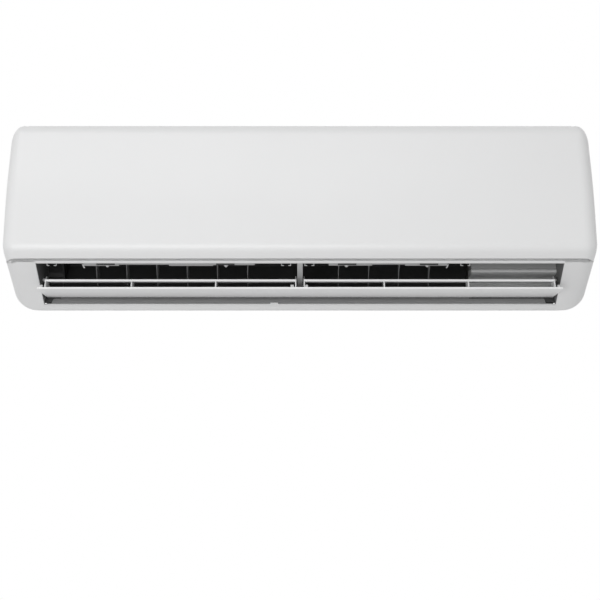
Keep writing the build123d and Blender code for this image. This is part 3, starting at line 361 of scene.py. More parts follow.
def moulded(name, colour, roughness, peel, edge=0.0005, coat=0.0):
    """Injection moulded plastic: slow colour drift, uneven gloss, a fine skin and soft edges."""
    finish = Finish(name, Roughness=roughness, Coat_Weight=coat, Coat_Roughness=0.2)
    cloud = finish.noise(9.0, 4.0, 0.55)
    finish.feed("Base Color", finish.blend(cloud, darkened(colour, 0.98), colour))
    smear = finish.noise(38.0, 5.0, 0.6, stretch=(0.35, 1.0, 1.0))
    finish.feed("Roughness", (roughness - 0.05) + smear * 0.1)
    finish.bump(finish.noise(700.0, 2.0), peel, 0.0004, edge)
    return finish.material


def zinc_sheet():
    """Hot dipped sheet with large pale crystals."""
    finish = Finish("galvanised", Metallic=1.0, Roughness=0.4)
    cells = {"Vector": finish.place(), "Scale": 120.0}
    crystal = finish.node("ShaderNodeTexVoronoi", {}, cells, "Color")
    level = finish.node("ShaderNodeSeparateColor", {}, {"Color": crystal}, "Red")
    finish.feed("Base Color", finish.blend(level, grey(0.52, 0.01), grey(0.68, 0.01)))
    finish.feed("Roughness", 0.32 + level * 0.2)
    finish.bump(finish.noise(400.0, 3.0), 0.05, 0.0003, 0.0004)
    return finish.material


def turned_metal(name, colour, roughness):
    """Bright metal with fine rings of tool marks and a little tarnish."""
    finish = Finish(name, Metallic=1.0, Roughness=roughness)
    stain = finish.noise(60.0, 5.0, 0.6)
    finish.feed("Base Color", finish.blend(stain.over(0.45, 0.3), colour, darkened(colour, 0.72)))
    finish.feed("Roughness", roughness + stain * 0.16)
    finish.bump(finish.noise(900.0, 2.0, stretch=(6.0, 1.0, 1.0)), 0.06, 0.0002, 0.0003)
    return finish.material


def fin_foil():
    """Pale lacquered aluminium foil with a fine pressed ripple."""
    finish = Finish("fins", Metallic=0.85, Roughness=0.38)
    ripples = 450.0  # in a metre of height
    ripple = (finish.place().axis("Z") * ripples).teeth() * 2.0
    dust = finish.noise(60.0, 4.0)
    finish.feed("Base Color", finish.blend(dust, grey(0.55, 0.02), grey(0.70, 0.02)))
    finish.feed("Roughness", 0.3 + dust * 0.2)
    finish.bump(ripple, 0.35, 0.0006)
    return finish.material


def circuit_board():
    """Green lacquer with paler copper tracks under it."""
    finish = Finish("board_green", Roughness=0.35)
    lacquer_over_copper = (0.10, 0.34, 0.14, 1.0)
    lacquer = (0.02, 0.14, 0.05, 1.0)
    cells = {"Vector": finish.place(), "Scale": 130.0}
    tracks = finish.node("ShaderNodeTexVoronoi", {"feature": "DISTANCE_TO_EDGE"}, cells)
    finish.feed("Base Color", finish.blend(tracks.over(0.05, 0.03), lacquer_over_copper, lacquer))
    finish.bump(tracks, 0.2, 0.0004)
    return finish.material


def filter_net():
    """Grey net of fine threads that light passes through."""
    finish = Finish("filter_net", Roughness=0.6)
    threads = 620.0  # in a metre
    thread_half = 0.16  # half a thread, of a mesh's width
    point = finish.place()
    upright = (point.axis("X") * threads).teeth() < thread_half
    level = (point.axis("Z") * threads).teeth() < thread_half
    finish.feed("Alpha", upright | level)
    dust = finish.noise(25.0, 4.0)
    finish.feed("Base Color", finish.blend(dust, grey(0.09), grey(0.15)))
    finish.bump(finish.noise(1500.0, 2.0), 0.1, 0.0003)
    return finish.material


def tinted_window():
    """Dark clear plastic over the receiver."""
    finish = Finish("dark_lens", Roughness=0.12, IOR=1.49)
    cloud = finish.noise(80.0)
    finish.feed("Base Color", finish.blend(cloud, grey(0.012), grey(0.02)))
    finish.feed("Roughness", 0.08 + cloud * 0.08)
    return finish.material


plastics = {  # colour, roughness, relief of the skin, rounding of the edges, coat
    "panel_white": (grey(0.80, 0.003), 0.36, 0.04, 0.0008, 0.15),
    "case_white": (grey(0.79, 0.003), 0.42, 0.07, 0.0008),
    # flap: its own white, lifted a little above the case's white so the downward-facing blade reads
    # brighter: partly painted light
    "flap_white": (grey(0.86, 0.003), 0.4, 0.06),
    "inner_plastic": (grey(0.06, 0.01), 0.55, 0.12),
    "pan_plastic": (grey(0.22, 0.01), 0.55, 0.12),
    # ledge: painted shade, a grey darker than the case white the ledge is made of, set to how dark it
    # looks under the lip
    "ledge_painted_shade_grey": (grey(0.34, 0.005), 0.5, 0.08),
    # clips and centre post: a mid grey set to how light each looks, lifted above the post's vane grey
    # where it sits in shade (painted light) and darker than the white clips (painted shade)
    "clip_grey_painted_light_and_shade": (grey(0.5, 0.005), 0.45, 0.08),
    "rail_grey": (grey(0.24, 0.005), 0.5, 0.08),
    "wall_grey": (grey(0.36, 0.005), 0.5, 0.08),
    "lip_grey": (grey(0.8, 0.003), 0.5, 0.08),
    "vane_grey": (grey(0.28, 0.01), 0.5, 0.1),
    "fan_grey": (grey(0.015), 0.5, 0.12),
    "motor_resin": ((0.5, 0.49, 0.45, 1.0), 0.5, 0.2),
    "black_rubber": (grey(0.012), 0.75, 0.2),
    "black_plastic": (grey(0.015), 0.5, 0.12),
    "bush_plastic": (grey(0.45), 0.45, 0.06),
    "filter_plastic": (grey(0.11, 0.02), 0.5, 0.1),
}
metals = {  # colour and roughness
    "steel": (grey(0.56), 0.28),
    "steel_can": (grey(0.66), 0.22),
    "copper": ((0.75, 0.36, 0.22, 1.0), 0.3),
    "brass_fitting": ((0.78, 0.57, 0.26, 1.0), 0.3),
}
finishes = {name: moulded(name, *values) for name, values in plastics.items()}
finishes.update({name: turned_metal(name, *values) for name, values in metals.items()})
finishes.update({"galvanised": zinc_sheet(), "fins": fin_foil(), "board_green": circuit_board(),
                 "filter_net": filter_net(), "dark_lens": tinted_window()})


def dress_frame():
    """Give every node of the frame the finish of its slot."""
    slots = {part["node"]: part["material_slot"] for part in frame["record"]["subparts"]}
    for node, shape in frame["nodes"].items():
        shape.data.materials.clear()
        shape.data.materials.append(finishes[slots[node]])


dress_frame()


# ---- housing ----
def stations(inset):
    """Places along the unit where the housing's section is drawn, closest at the rounded ends."""
    bend_start = half_width - lower_corner
    round_start = half_width - end_rounding
    bend_steps = 6
    round_steps = 10
    right = [bend_start + (round_start - bend_start) * step / bend_steps for step in range(bend_steps)]
    for step in range(round_steps + 1):
        turn = math.radians(90.0 * step / round_steps)
        right.append(round_start + (end_rounding - inset) * math.sin(turn))
    return [-x for x in reversed(right)] + right


def fall_at(x, reach, height, inset):
    """How far a corner of this reach and height has fallen at x, for the form drawn in by inset."""
    past = max(0.0, abs(x) - (half_width - reach)) / (reach - inset)
    return (height - inset) * (1 - math.sqrt(max(0.0, 1 - past ** 2)))


def near_edge(distance):
    """1 at the lower or upper edge, fading to 0 over the height of a corner."""
    return max(0.0, 1 - distance / corner_height) ** corner_fade


def housing(inset, back=0.0):
    """The closed outer form of the unit, drawn in by inset; its back can be moved out of the way."""
    form_rings = []
    for x in stations(inset):
        pulled = fall_at(x, end_rounding, end_rounding, inset)
        low = inset + pulled
        outline = moved_edges(case_outline, [low] * 6 + [inset, back])
        radii = {number: max(radius - low, 0.4) for number, radius in case_radii.items()}
        ring = rounded(outline, radii, corner_steps)
        lift = max(0.0, fall_at(x, lower_corner, lower_corner, inset) - pulled)
        raised = [(depth, level + lift * near_edge(level - low)) for depth, level in ring]
        drop = max(0.0, fall_at(x, upper_corner_reach, upper_corner_fall, inset) - pulled)
        roof = max(level for depth, level in raised)
        form_rings.append([spot(x, depth, level - drop * near_edge(roof - level))
                           for depth, level in raised])
    return Form().loft(form_rings)


def seam_block(grow=0.0):
    """The space in front of the panel's seam, with the seam moved back by grow."""
    outline = moved_edges(panel_seam, [grow] * 7 + [0, 0])
    return Form().bar(outline, *past_ends)


arm_place = 453.5  # middle of a hinge arm, from the middle of the unit
arm_half = 1.5
hinge_pin = 2.5
hinge_pin_length = 4.0
hinge_groove = 6.1
bearing_place = 460.0  # a bearing of the hinge, which the panel leaves free
bearing_half = 3.5


def hinge_arm(side, grow=0.0):
    """Flat arm from the panel's top bend to its hinge pin, or with grow the room for it."""
    depth, level = panel_pivot
    outline = rounded([(depth - 4.2 - grow, level - 4.2 - grow), (depth + 10, level - 4.2 - grow),
                       (depth + 19, level - 2.5 - grow), (depth + 19, level - 1 + grow),
                       (depth + 12, level + 3 + grow), (depth - 4.2 - grow, level + 4.2 + grow)],
                      {0: 3.5, 5: 3.5}, 8)
    middle = side * arm_place
    return Form().bar(outline, middle - arm_half - grow, middle + arm_half + grow)


def front_panel():
    """Thin convex panel with returns at both ends, and its hinge arms with their pins."""
    form = housing(0).keep(seam_block()).cut(housing(skin))
    arms = Form()
    for side in (-1, 1):
        middle = side * bearing_place
        form.cut(Form().block((middle - bearing_half, middle + bearing_half), (130, 148), (292, 311)))
        arms.join(hinge_arm(side))
        pin_start = side * (arm_place + arm_half)
        arms.rod(*sorted((pin_start, pin_start + side * hinge_pin_length)), panel_pivot, hinge_pin)
    arms.piece("panel_hinge_arms", "panel", "panel_white", soften=0.3)
    form.piece("panel_shell", "panel", "panel_white", replaces=["front_panel"])


grille_columns = 20
grille_half = 452.0
grille_rib = 5.0
grille_rows = [(22, 54), (60, 92), (98, 124)]
grille_levels = (306, 312)
outlet_cut = [(122.5, 8.5), (130, 0), (220, 66), (208, 75.2), (206, 78), (204, 84), (150, 84), (112, 30),
              (119, 12.5)]
lip_bar = [(206, 78), (208, 75), (212.6, 78.9), (211, 80.6), (208.4, 80.4), (208.4, 100), (206, 100)]
rail_bar = [(104, 1.5), (110, 1), (122.3, 8.8), (118.5, 10.8), (110, 8.6), (104, 3)]
outlet_side = [(205, 78), (203, 80), (152, 98.5), (96, 80), (70, 62), (108, 14), (119, 9.5)]
post_outline = [(207, 78.5), (204, 80), (154, 100), (146, 97), (126, 58), (123, 46), (129, 33.5),
                (146, 33.5), (160, 43), (180, 58.4), (203, 75.6)]
post_half = 4.5
inner_side = 6.0  # depth of the stepped face's inner side under the outer form
face_setback = 3.5  # and of its outer side, where it has the filter windows
filter_windows = ((-446, -6), (6, 304))
window_levels = (142, 292)
receiver_opening = ((352, 398), (188, 230), (155, 167))
button_place = (428, 188, 161)
button_hole = 4.6
gutter_half = 463.0
gutter_radius = 8.3


def hinge_room(form):
    """Cut the groove for the panel's hinge and the relief above it."""
    form.cut(Form().rod(*past_ends, panel_pivot, hinge_groove))
    return form.cut(Form().bar([(130.2, 307.2), (132, 311), (140, 311), (140, 307.2)], *past_ends))


def grille_slots():
    """Cutter for the intake openings in the top."""
    pitch = 2 * grille_half / grille_columns
    slots = Form()
    for column in range(grille_columns):
        left = -grille_half + pitch * column + grille_rib / 2
        for row in grille_rows:
            slots.block((left, left + pitch - grille_rib), row, grille_levels)
    return slots


def case_shell():
    """Outer moulding: the top with its grille, the ends and the bottom, open at the back."""
    form = housing(0).cut(housing(skin, back=-30)).cut(seam_block(panel_gap))
    form.cut(Form().block(past_ends, (-10, 12), (-20, 320)))
    form.cut(Form().block(past_ends, (0, 62), (-20, 62)))
    form.cut(Form().bar(outlet_cut, -outlet_half, outlet_half))
    hinge_room(form).cut(grille_slots())
    form.piece("case_shell", "unit", "case_white", replaces=["front_case"])


def outlet_frame():
    """Lip over the outlet, bottom rail, end walls and the centre post."""
    form = Form()
    form.bar(rounded(lip_bar, {1: 0.8, 2: 0.9, 3: 0.6}, 4), -outlet_half, outlet_half)
    form.bar(rail_bar, -outlet_half, outlet_half)
    form.piece("outlet_lips", "unit", "case_white", soften=0.25)
    walls = Form()
    for side in (-1, 1):
        walls.bar(outlet_side, *sorted((side * outlet_half, side * (outlet_half + skin))))
    walls.cut(Form().rod(*past_ends, louver_pivot, louver_pin_hole))
    walls.piece("outlet_end_walls", "unit", "pan_plastic", soften=0.3)
    post_radii = {4: 5, 5: 5, 6: 5, 7: 4, 8: 6, 9: 6}
    post = Form().bar(rounded(post_outline, post_radii, 6), -post_half, post_half)
    post.cut(Form().rod(-10, 10, louver_pivot, louver_pin_hole))
    # The post's lighter grey is painted light: lifted above its vane grey, which falls in shade here.
    post.piece("outlet_centre_post", "unit", "vane_grey", soften=0.6, finish="clip_grey_painted_light_and_shade")


def inner_front():
    """The stepped face behind the panel with a window for each filter, and the hinge gutter."""
    step = housing(0).cut(housing(inner_side)).cut(seam_block(panel_gap))
    step.keep(seam_block(panel_gap + skin + 1))
    hinge_room(step).piece("case_joggle", "unit", "case_white")
    face = housing(face_setback).cut(housing(inner_side)).keep(seam_block(panel_gap + 0.5))
    for window in filter_windows:
        face.cut(Form().block(window, (125, 240), window_levels))
    face.cut(Form().block(*receiver_opening))
    face.cut(Form().lathe([(0, button_hole), (40, button_hole)], spot(*button_place), (0, -1, 0)))
    gutter = Form().rod(-gutter_half, gutter_half, panel_pivot, gutter_radius)
    gutter.cut(Form().rod(*past_ends, panel_pivot, hinge_groove))
    gutter.cut(Form().block(past_ends, (120, 150), (307.6, 320)))
    gutter.piece("hinge_gutter", "unit", "case_white", soften=0.2)
    hinge_room(face)
    for side in (-1, 1):
        face.cut(hinge_arm(side, grow=0.8))
    face.piece("filter_frame", "unit", "case_white")


def finger_guard():
    """Thin bars along the intake openings, three to a row and a little below the top face."""
    form = Form()
    foot = 306.6
    top = 309.4
    half = 0.9
    for near, far in grille_rows:
        for share in (0.25, 0.5, 0.75):
            depth = near + (far - near) * share
            outline = [(depth - half, foot), (depth + half, foot), (depth + half, top),
                       (depth - half, top)]
            form.bar(rounded(outline, {2: 0.8, 3: 0.8}, 3), -grille_half, grille_half)
    form.piece("finger_guard", "unit", "case_white")


# ---- guide louvre ----
flap_half = 428.0
flap_rear = Vector((110.0, 21.9))
flap_front = Vector((208.0, 33.9))
flap_bulge = 0.4  # of the underside, at mid width
rib_places = (7, 138, 276, 417)
rib_outline = [(150, 26.5), (201, 33.5), (190, 48.8), (164, 45.4)]
rib_half = 1.0
arm_outline = [(128, 52), (124, 23), (162, 28.6), (140, 52)]
arm_thickness = 2.0
arm_boss = 6.0  # radius of an arm's boss round the pivot
arm_starts = (-flap_half + 2, -rib_places[0] - 1, rib_places[0] - 1, flap_half - 4)
pin_spans = ((-outlet_half - 2, -flap_half + 2), (-rib_places[0] + 1, -rib_places[0] + 5),
             (rib_places[0] - 5, rib_places[0] - 1))
ear_outline = [(184, 30.8), (200, 32.9), (196.5, 38.2), (191, 41.2), (186, 40.8)]
ear_spans = ((6 - flap_half, 2.5 - flap_half), (flap_half - 6, flap_half - 2.5), (-15.5, -10.0),
             (8.5, 13.0))
guide_vane_spans = {"left": (-418.5, -6), "right": (6, 418.5)}
guide_vane_outline = [(164.0, 44.8), (170, 45.6), (177, 46.4), (184, 47.0), (188.4, 47.2), (189.6, 46.3),
                      (190.6, 46.3), (190.2, 50.1), (188.6, 49.9), (184, 48.8), (177, 48.1),
                      (170, 47.2), (164, 46.0)]


def flap_section():
    """Blade section: convex below, thin at the rear and rounded at the front."""
    below = []
    above = []
    steps = 16
    for step in range(steps + 1):
        share = step / steps
        middle = flap_rear + (flap_front - flap_rear) * share
        bulge = flap_bulge * (1 - (2 * share - 1) ** 2)
        thick = 1.6 + 1.6 * min(1.0, share * 3)
        below.append((middle.x, middle.y - bulge))
        above.append((middle.x - 0.5, middle.y - bulge + thick))
    return rounded(below + above[::-1], {steps: 1.2, steps + 1: 1.2}, 5)


def guide_louvre():
    """Wide flap with its ribs, pivot arms, pins and ears, and the two narrow vanes above it."""
    flap = Form().bar(flap_section(), -flap_half, flap_half)
    flap.piece("flap_blade", "louver", "flap_white", replaces=["louver_flap"])
    ribs = Form()
    for place in rib_places:
        for x in (-place, place):
            ribs.bar(rounded(rib_outline, {2: 2.0, 3: 3.0}, 4), x - rib_half, x + rib_half)
    for x in arm_starts:
        ribs.bar(rounded(arm_outline, {0: 5.0, 3: 5.0}, 6), x, x + arm_thickness)
        ribs.rod(x, x + arm_thickness, louver_pivot, arm_boss)
    ribs.piece("flap_ribs", "louver", "flap_white", soften=0.25)
    pins = Form()
    for span in pin_spans:
        pins.rod(*span, louver_pivot, louver_pin)
    pins.piece("flap_pins", "louver", "flap_white", soften=0.3)
    ears = Form()
    for span in ear_spans:
        ears.bar(rounded(ear_outline, {2: 1.5, 3: 3, 4: 3}, 5), *span)
    ears.piece("flap_ears", "louver", "flap_white", soften=0.4)
    section = rounded(guide_vane_outline, {6: 0.4, 7: 0.6, 8: 0.4, 0: 0.5, 12: 0.5}, 4)
    for name, span in guide_vane_spans.items():
        vane = Form().bar(section, *span)
        vane.piece(f"guide_vane_{name}", "louver", "flap_white", replaces=[f"louver_vane_{name}"])


# ---- vertical vanes ----
duct_run = (Vector(duct_mouth) - Vector(duct_start)).normalized()
duct_drop = Vector((duct_run.y, -duct_run.x))
leaf_outline = [(2, 3.5), (30, 3.5), (17, 34), (18.5, 46), (17, 57), (4, 64), (-8, 56), (-8, 34),
                (-6, 24), (3.5, 24), (3.5, 18), (-6, 18), (-6, 14)]
leaf_radii = {1: 3, 2: 12, 3: 8, 4: 6, 5: 8, 6: 6, 7: 6, 8: 1, 11: 1, 12: 2}
leaf_stub = [(0.4, 1.5), (2.0, 1.5), (2.4, 3.2), (6.0, 3.2), (7.5, 1.6)]
tie_pin = [(-4.5, 1.0), (4.5, 1.0)]


def duct_at(along, below):
    """Section point along and below the upper duct wall."""
    return tuple(Vector(duct_start) + duct_run * along + duct_drop * below)


def vertical_vane(name, body, x):
    """Leaf with a slight camber, a thicker root, a pivot stub, and the tie bar's notch and pin."""
    rings = []
    for side in (-1, 1):
        ring = []
        for along, below in rounded(leaf_outline, leaf_radii, 5):
            camber = 1.5 * ((along - 10) / 20) ** 2 - 0.4
            thick = 0.45 + 0.35 * max(0.0, 1 - (below - 3.5) / 40)
            ring.append(spot(x + camber + side * thick, *duct_at(along, below)))
        rings.append(ring)
    form = Form().loft(rings)
    axis = (0, -duct_drop.x, duct_drop.y)
    form.lathe(leaf_stub, spot(x, *duct_at(16, 0)), axis, 28)
    form.lathe(tie_pin, spot(x, *duct_at(-2, 21)), axis, 20)
    form.piece(f"leaf_{name}", body, "vane_grey", replaces=[f"vane_{name}"], soften=0.15)


def vane_banks():
    """The six leaves of the left bank and the four of the right one."""
    for bank, places in vane_places.items():
        for number, x in enumerate(places, 1):
            vertical_vane(f"{bank}_{number}", f"vane_{bank}_{number}_body", x)


# ---- upper edge of the outlet ----
ledge_runs = ((-354, -296, 0.0), (-296, -214, 2.0), (-214, -142, 0.0), (-142, -74, 1.2),
              (47, 118, 0.5), (118, 172, 2.2), (172, 241, 0.3))  # span and lift
tab_places = (-406, -22.7, 15.4, 270.4)
tab_gap = 7.4  # from the middle of a pair of tabs to either
tab_toe = 3.6  # and to the end of its toe
tab_half = 0.55
stud_places = (-315, -121, 76, 208)
stud_profile = [(0, 3.8), (2.2, 3.8), (2.6, 2.6), (4.2, 2.1), (4.6, 1.2)]
hook_places = ((-356, 1), (243, -1))  # the second number is the side to which a hook leans
hook_section = ((-1.1, 0), (1.1, 0), (1.1, 2.4), (-1.1, 2.4))
# black bars in the gaps between the lip and the ledge: painted shade, a dark solid where the gaps are
# only in shade
gap_shade_places = (-317.5, -121.9, 77, 210.8)
gap_shade_half = 15.0


def ledge_bar(form, x_from, x_to, lift):
    """A stretch of the downward lip behind the outlet's upper edge, raised by lift."""
    outline = [duct_at(43, 0.2), duct_at(50, 0.2), (200.8, 75.4 + lift), (198.2, 71.4 + lift),
               (194.0, 73.0 + lift), duct_at(43, 6)]
    form.bar(rounded(outline, {2: 0.6, 3: 1.0, 4: 1.5}, 4), x_from, x_to)


def ledge_details():
    """Lips, tabs, studs and hooks along the upper wall of the duct, near its mouth, and black bars in
    the gaps between lip and ledge that paint their shade.
    """
    lips = Form()
    for run in ledge_runs:
        ledge_bar(lips, *run)
    # The ledge's grey is painted shade: darker than its white plastic.
    lips.piece("ledge_lips", "unit", "vane_grey", soften=0.25, finish="ledge_painted_shade_grey")
    clips = Form()
    for x in tab_places:
        for side in (-1, 1):
            middle = x + side * tab_gap
            clips.bar([duct_at(46, 0.2), duct_at(50, 0.2), (199.6, 71.6), (197.4, 71.6)],
                      middle - tab_half, middle + tab_half)
            clips.bar([(197.4, 71.6), (199.6, 71.6), (199.6, 72.7), (197.4, 72.7)],
                      *sorted((middle, x + side * tab_toe)))
    for x in stud_places:
        clips.lathe(stud_profile, spot(x, 196.2, 74.2), (0, -0.3, -1), 28)
    for x, lean in hook_places:
        clips.loft([[spot(x + lean * reach * 0.5 + wide, 193.5 + along, 74.5 - reach)
                     for wide, along in hook_section] for reach in (0, 2.2, 4.4, 6.4)])
    # The clips' grey is painted shade: darker than their white plastic.
    clips.piece("ledge_clips", "unit", "vane_grey", soften=0.2, finish="clip_grey_painted_light_and_shade")
    # Painted shade: black bars fill the gaps between lip and ledge, which are dark only from shade.
    slots = Form()
    for x in gap_shade_places:
        slots.bar([(200.3, 72.6), (201.5, 72.9), (202.6, 76.6), (200.6, 76.2)],
                  x - gap_shade_half, x + gap_shade_half)
    slots.piece("ledge_gap_shade_bars", "unit", "black_plastic", soften=0.1)


# ---- closed parts of the outlet ----
blank_span = (287.5, outlet_half - 0.4)
blank_upper = [(204.6, 79.4), (202.5, 77.6), (150, 97), (129, 92), (134, 69), (100, 66), (100, 82),
               (152, 100)]
blank_foot = [(134.5, 68.4), (137, 64), (128, 60), (96, 55), (93.5, 46), (98, 30), (111, 16), (108, 14),
              (92, 30), (90, 60), (95, 68.4)]
lower_lip = [(118.5, 12.0), (115.5, 16.0), (111.5, 18.6), (106.2, 23.0), (101.8, 28.2), (98, 33.5),
             (94, 31), (98, 24), (106, 16), (115, 9.8)]
lower_lip_ends = ((-419.5, 0.35), (415.0, -0.25))  # place of each end and its slant
lower_lip_front = 12.0  # level at which an end is in its place
screw_cover_at = -43.5
screw_cover_steps = ((9.0, 8.2, 10.6), (6.5, 10.2, 12.8))  # half length, lowest and highest


def blank_wall():
    """Closed face at the right of the duct: a leaning upper part over a lighter stepped foot."""
    upper = Form().bar(rounded(blank_upper, {3: 3, 4: 2}, 6), *blank_span)
    upper.piece("duct_blank_wall", "unit", "vane_grey", soften=0.5, finish="wall_grey")
    foot = Form().bar(rounded(blank_foot, {1: 2, 2: 6, 3: 5, 4: 6, 5: 8}, 6), *blank_span)
    foot.piece("duct_blank_foot", "unit", "vane_grey", soften=0.3, finish="lip_grey")


def lower_duct_lip():
    """Grey lip of the lower duct wall, with slanted ends, and the cover over the rail screw."""
    lip = Form().loft([[spot(x + (level - lower_lip_front) * slant, depth, level)
                        for depth, level in lower_lip] for x, slant in lower_lip_ends])
    lip.piece("lower_duct_lip", "unit", "vane_grey", soften=0.3, finish="rail_grey")
    cover = Form()
    for half, low, high in screw_cover_steps:
        outline = [(117.5, low), (122.6, low), (121.4, high), (117.0, high)]
        cover.bar(rounded(outline, {2: 0.8}, 4), screw_cover_at - half, screw_cover_at + half)
    cover.piece("rail_screw_cover", "unit", "case_white", soften=0.3)


# ---- fan ----
fan_left = -398.0
fan_right = 280.0
fan_spans = 3
fan_blades = 20
blade_foot = 37.5  # radius at which a blade starts
blade_reach = 10.7
disc_thickness = 3.0
disc_radius = 49.0
disc_edge = 0.4
ring_bore = 36.6
hub_bore = 5.0


def blade_section(start):
    """Curved blade from an angle on, thickest at mid chord."""
    front = []
    back = []
    steps = 8
    for step in range(steps + 1):
        share = step / steps
        radius = blade_foot + blade_reach * share
        turn = start + 0.10 * share + 0.145 * share ** 2
        half = 0.35 + 0.6 * math.sin(math.pi * min(1.0, share * 0.9 + 0.08))
        front.append(around(fan_centre, radius, turn + half / radius))
        back.append(around(fan_centre, radius, turn - half / radius))
    return front + back[::-1]


def cross_flow_fan():
    """Drum of curved blades between discs, stepped a little from span to span."""
    length = (fan_right - fan_left - disc_thickness) / fan_spans
    blades = Form()
    for span in range(fan_spans):
        start = fan_left + span * length + disc_thickness - disc_edge
        for blade in range(fan_blades):
            turn = math.tau * (blade + span / fan_spans) / fan_blades
            blades.bar(blade_section(turn), start, start + length - disc_thickness + 2 * disc_edge)
    blades.piece("fan_blades", "fan", "fan_grey", replaces=["cross_flow_fan"])
    discs = Form()
    for number in range(fan_spans + 1):
        near = fan_left + number * length
        far = near + disc_thickness
        bore = hub_bore if number in (0, fan_spans) else ring_bore
        outline = [(near, bore), (near, disc_radius - 0.3), (near + disc_edge, disc_radius),
                   (far - disc_edge, disc_radius), (far, disc_radius - 0.3), (far, bore)]
        discs.loft([[spot(x, *around(fan_centre, radius, math.tau * side / 96)) for side in range(96)]
                    for x, radius in outline], loop=True)
    discs.piece("fan_discs", "fan", "fan_grey", soften=0.2)


# ---- coil and pipes ----
coil_ends = (-420.0, 292.0)
coil_packs = {
    "coil_front_lower": [(177.8, 124), (202.2, 124), (184.7, 206.5), (161.3, 201.5)],
    "coil_front_upper": [(159.1, 207.9), (176.9, 224.1), (112.9, 294.1), (95.1, 277.9)],
    "coil_rear": [(22.2, 221), (41.8, 207), (91.8, 277), (72.2, 291)],
}
fin_pitch = 2.0
fin_half = 0.16
ripple_length = 5.25  # of the rippled edges of the fins
ripple_height = 0.35
tube_rows = [((180, 164), (-0.208, 0.978)), ((150, 235.5), (-0.675, 0.738)),
             ((64, 259), (-0.581, -0.814))]  # middle of each row and its direction
tube_pitch = 21.0
tube_radius = 3.5
bend_reach = 14.5
bend_collar = [(0, 4.4), (1.6, 4.4), (2.4, 3.5)]
bend_rows = {"left": (-421.2, -1, 3), "right": (293.2, 1, 2)}  # feet, outward side, full rows


def fin_rows(node, corners):
    """Thin fins with rippled edges across a coil pack, whose section has four corners."""
    points = [Vector(corner) for corner in corners]
    ring = []
    for start, end in zip(points, points[1:] + points[:1]):
        run = end - start
        across = Vector((run.y, -run.x)).normalized()
        count = max(2, round(run.length / ripple_length) * 2)
        for step in range(count):
            ring.append(tuple(start + run * step / count + across * (ripple_height * (step % 2))))
    form = Form()
    for number in range(int((coil_ends[1] - coil_ends[0]) / fin_pitch)):
        x = coil_ends[0] + fin_pitch * (number + 0.5)
        form.bar(ring, x - fin_half, x + fin_half)
    form.piece(f"{node}_fins", "unit", "fins", replaces=[node])


def coil_packs_with_fins():
    """Fins of the three packs, and the copper tubes that run through them."""
    for node, corners in coil_packs.items():
        fin_rows(node, corners)
    tubes = Form()
    for (depth, level), (run, rise) in tube_rows:
        for reach in (-1.5, -0.5, 0.5, 1.5):
            place = (depth + run * reach * tube_pitch, level + rise * reach * tube_pitch)
            tubes.rod(*coil_ends, place, tube_radius, 24)
    tubes.piece("coil_tubes", "unit", "copper")


def bent_path(points, radius):
    """Points of a path in space, in metres, with every corner eased to radius in mm."""
    eased = [points[0]]
    for before, here, after in zip(points, points[1:], points[2:]):
        eased += corner_arc(before, here, after, radius * mm, 10)
    return eased + [points[-1]]


def return_bends():
    """Copper U-bends with a brazed collar at each foot, outside both end plates."""
    for side, (x, outward, full_rows) in bend_rows.items():
        bends = Form()
        for row, (place, direction) in enumerate(tube_rows):
            direction = Vector(direction)
            for step in (-1, 1) if row < full_rows else (-1,):
                middle = Vector(place) + direction * (step * tube_pitch)
                feet = [middle + direction * (reach * tube_pitch / 2) for reach in (-1, 1)]
                top = x + outward * bend_reach
                points = [spot(x, *feet[0]), spot(top, *feet[0]), spot(top, *feet[1]), spot(x, *feet[1])]
                bends.tube(bent_path(points, tube_pitch / 2 - 0.05), tube_radius - 0.1, 24)
                for foot in feet:
                    bends.lathe(bend_collar, spot(x, *foot), (outward, 0, 0), 28)
        bends.piece(f"copper_bends_{side}", "unit", "copper", replaces=[f"return_bends_{side}"])


pipe_end = -60.0
gas_place = (44, 44)
gas_path = [(293.2, 51.8, 241.9), (326, 51.8, 241.9), (326, 51.8, 150), (326, 44, 100),
            (326, *gas_place), (pipe_end, *gas_place)]
liquid_place = (26, 22)
liquid_path = [(293.2, 116, 273), (342, 116, 273), (342, 26, 273), (342, *liquid_place),
               (pipe_end, *liquid_place)]
thread_pitch = 1.6


def pipe(name, path, bend, radius, sides):
    """A copper pipe with eased bends."""
    form = Form().tube(bent_path([spot(*point) for point in path], bend), radius, sides)
    form.piece(f"{name}_pipe_bent", "unit", "copper", replaces=[f"{name}_pipe"])


def flare_union(name, place, across, thread, length):
    """Hexagon nut at the end of a pipe and the threaded stub in front of it."""
    end = spot(pipe_end, *place)
    flat = across / 2
    corner = across * 0.577
    nut = Form().lathe([(0, flat), (1.2, corner), (10.8, corner), (12, flat)], end, (-1, 0, 0), 6)
    nut.piece(f"{name}_union_nut", "unit", "brass_fitting", soften=0.4)
    profile = [(11.5, thread * 0.86)]
    turns = int(length / thread_pitch)
    for turn in range(turns):
        along = 12.4 + turn * length / (turns + 0.6)
        crest = thread - 0.05
        profile += [(along, thread * 0.88), (along + 0.5, crest), (along + 0.9, crest)]
    profile += [(11.9 + length, thread * 0.84), (11.95 + length, thread * 0.55),
                (11.5 + length * 0.7, thread * 0.5)]
    stub = Form().lathe(profile, end, (-1, 0, 0), 40)
    stub.piece(f"{name}_union_thread", "unit", "brass_fitting", replaces=[f"{name}_union"])


def refrigerant_pipes():
    """Gas and liquid pipe and their flare unions."""
    pipe("gas", gas_path, 17.0, 6.3, 32)
    pipe("liquid", liquid_path, 13.0, 3.15, 28)
    flare_union("gas", gas_place, 22, 9.5, 16)
    flare_union("liquid", liquid_place, 14, 5.5, 13)


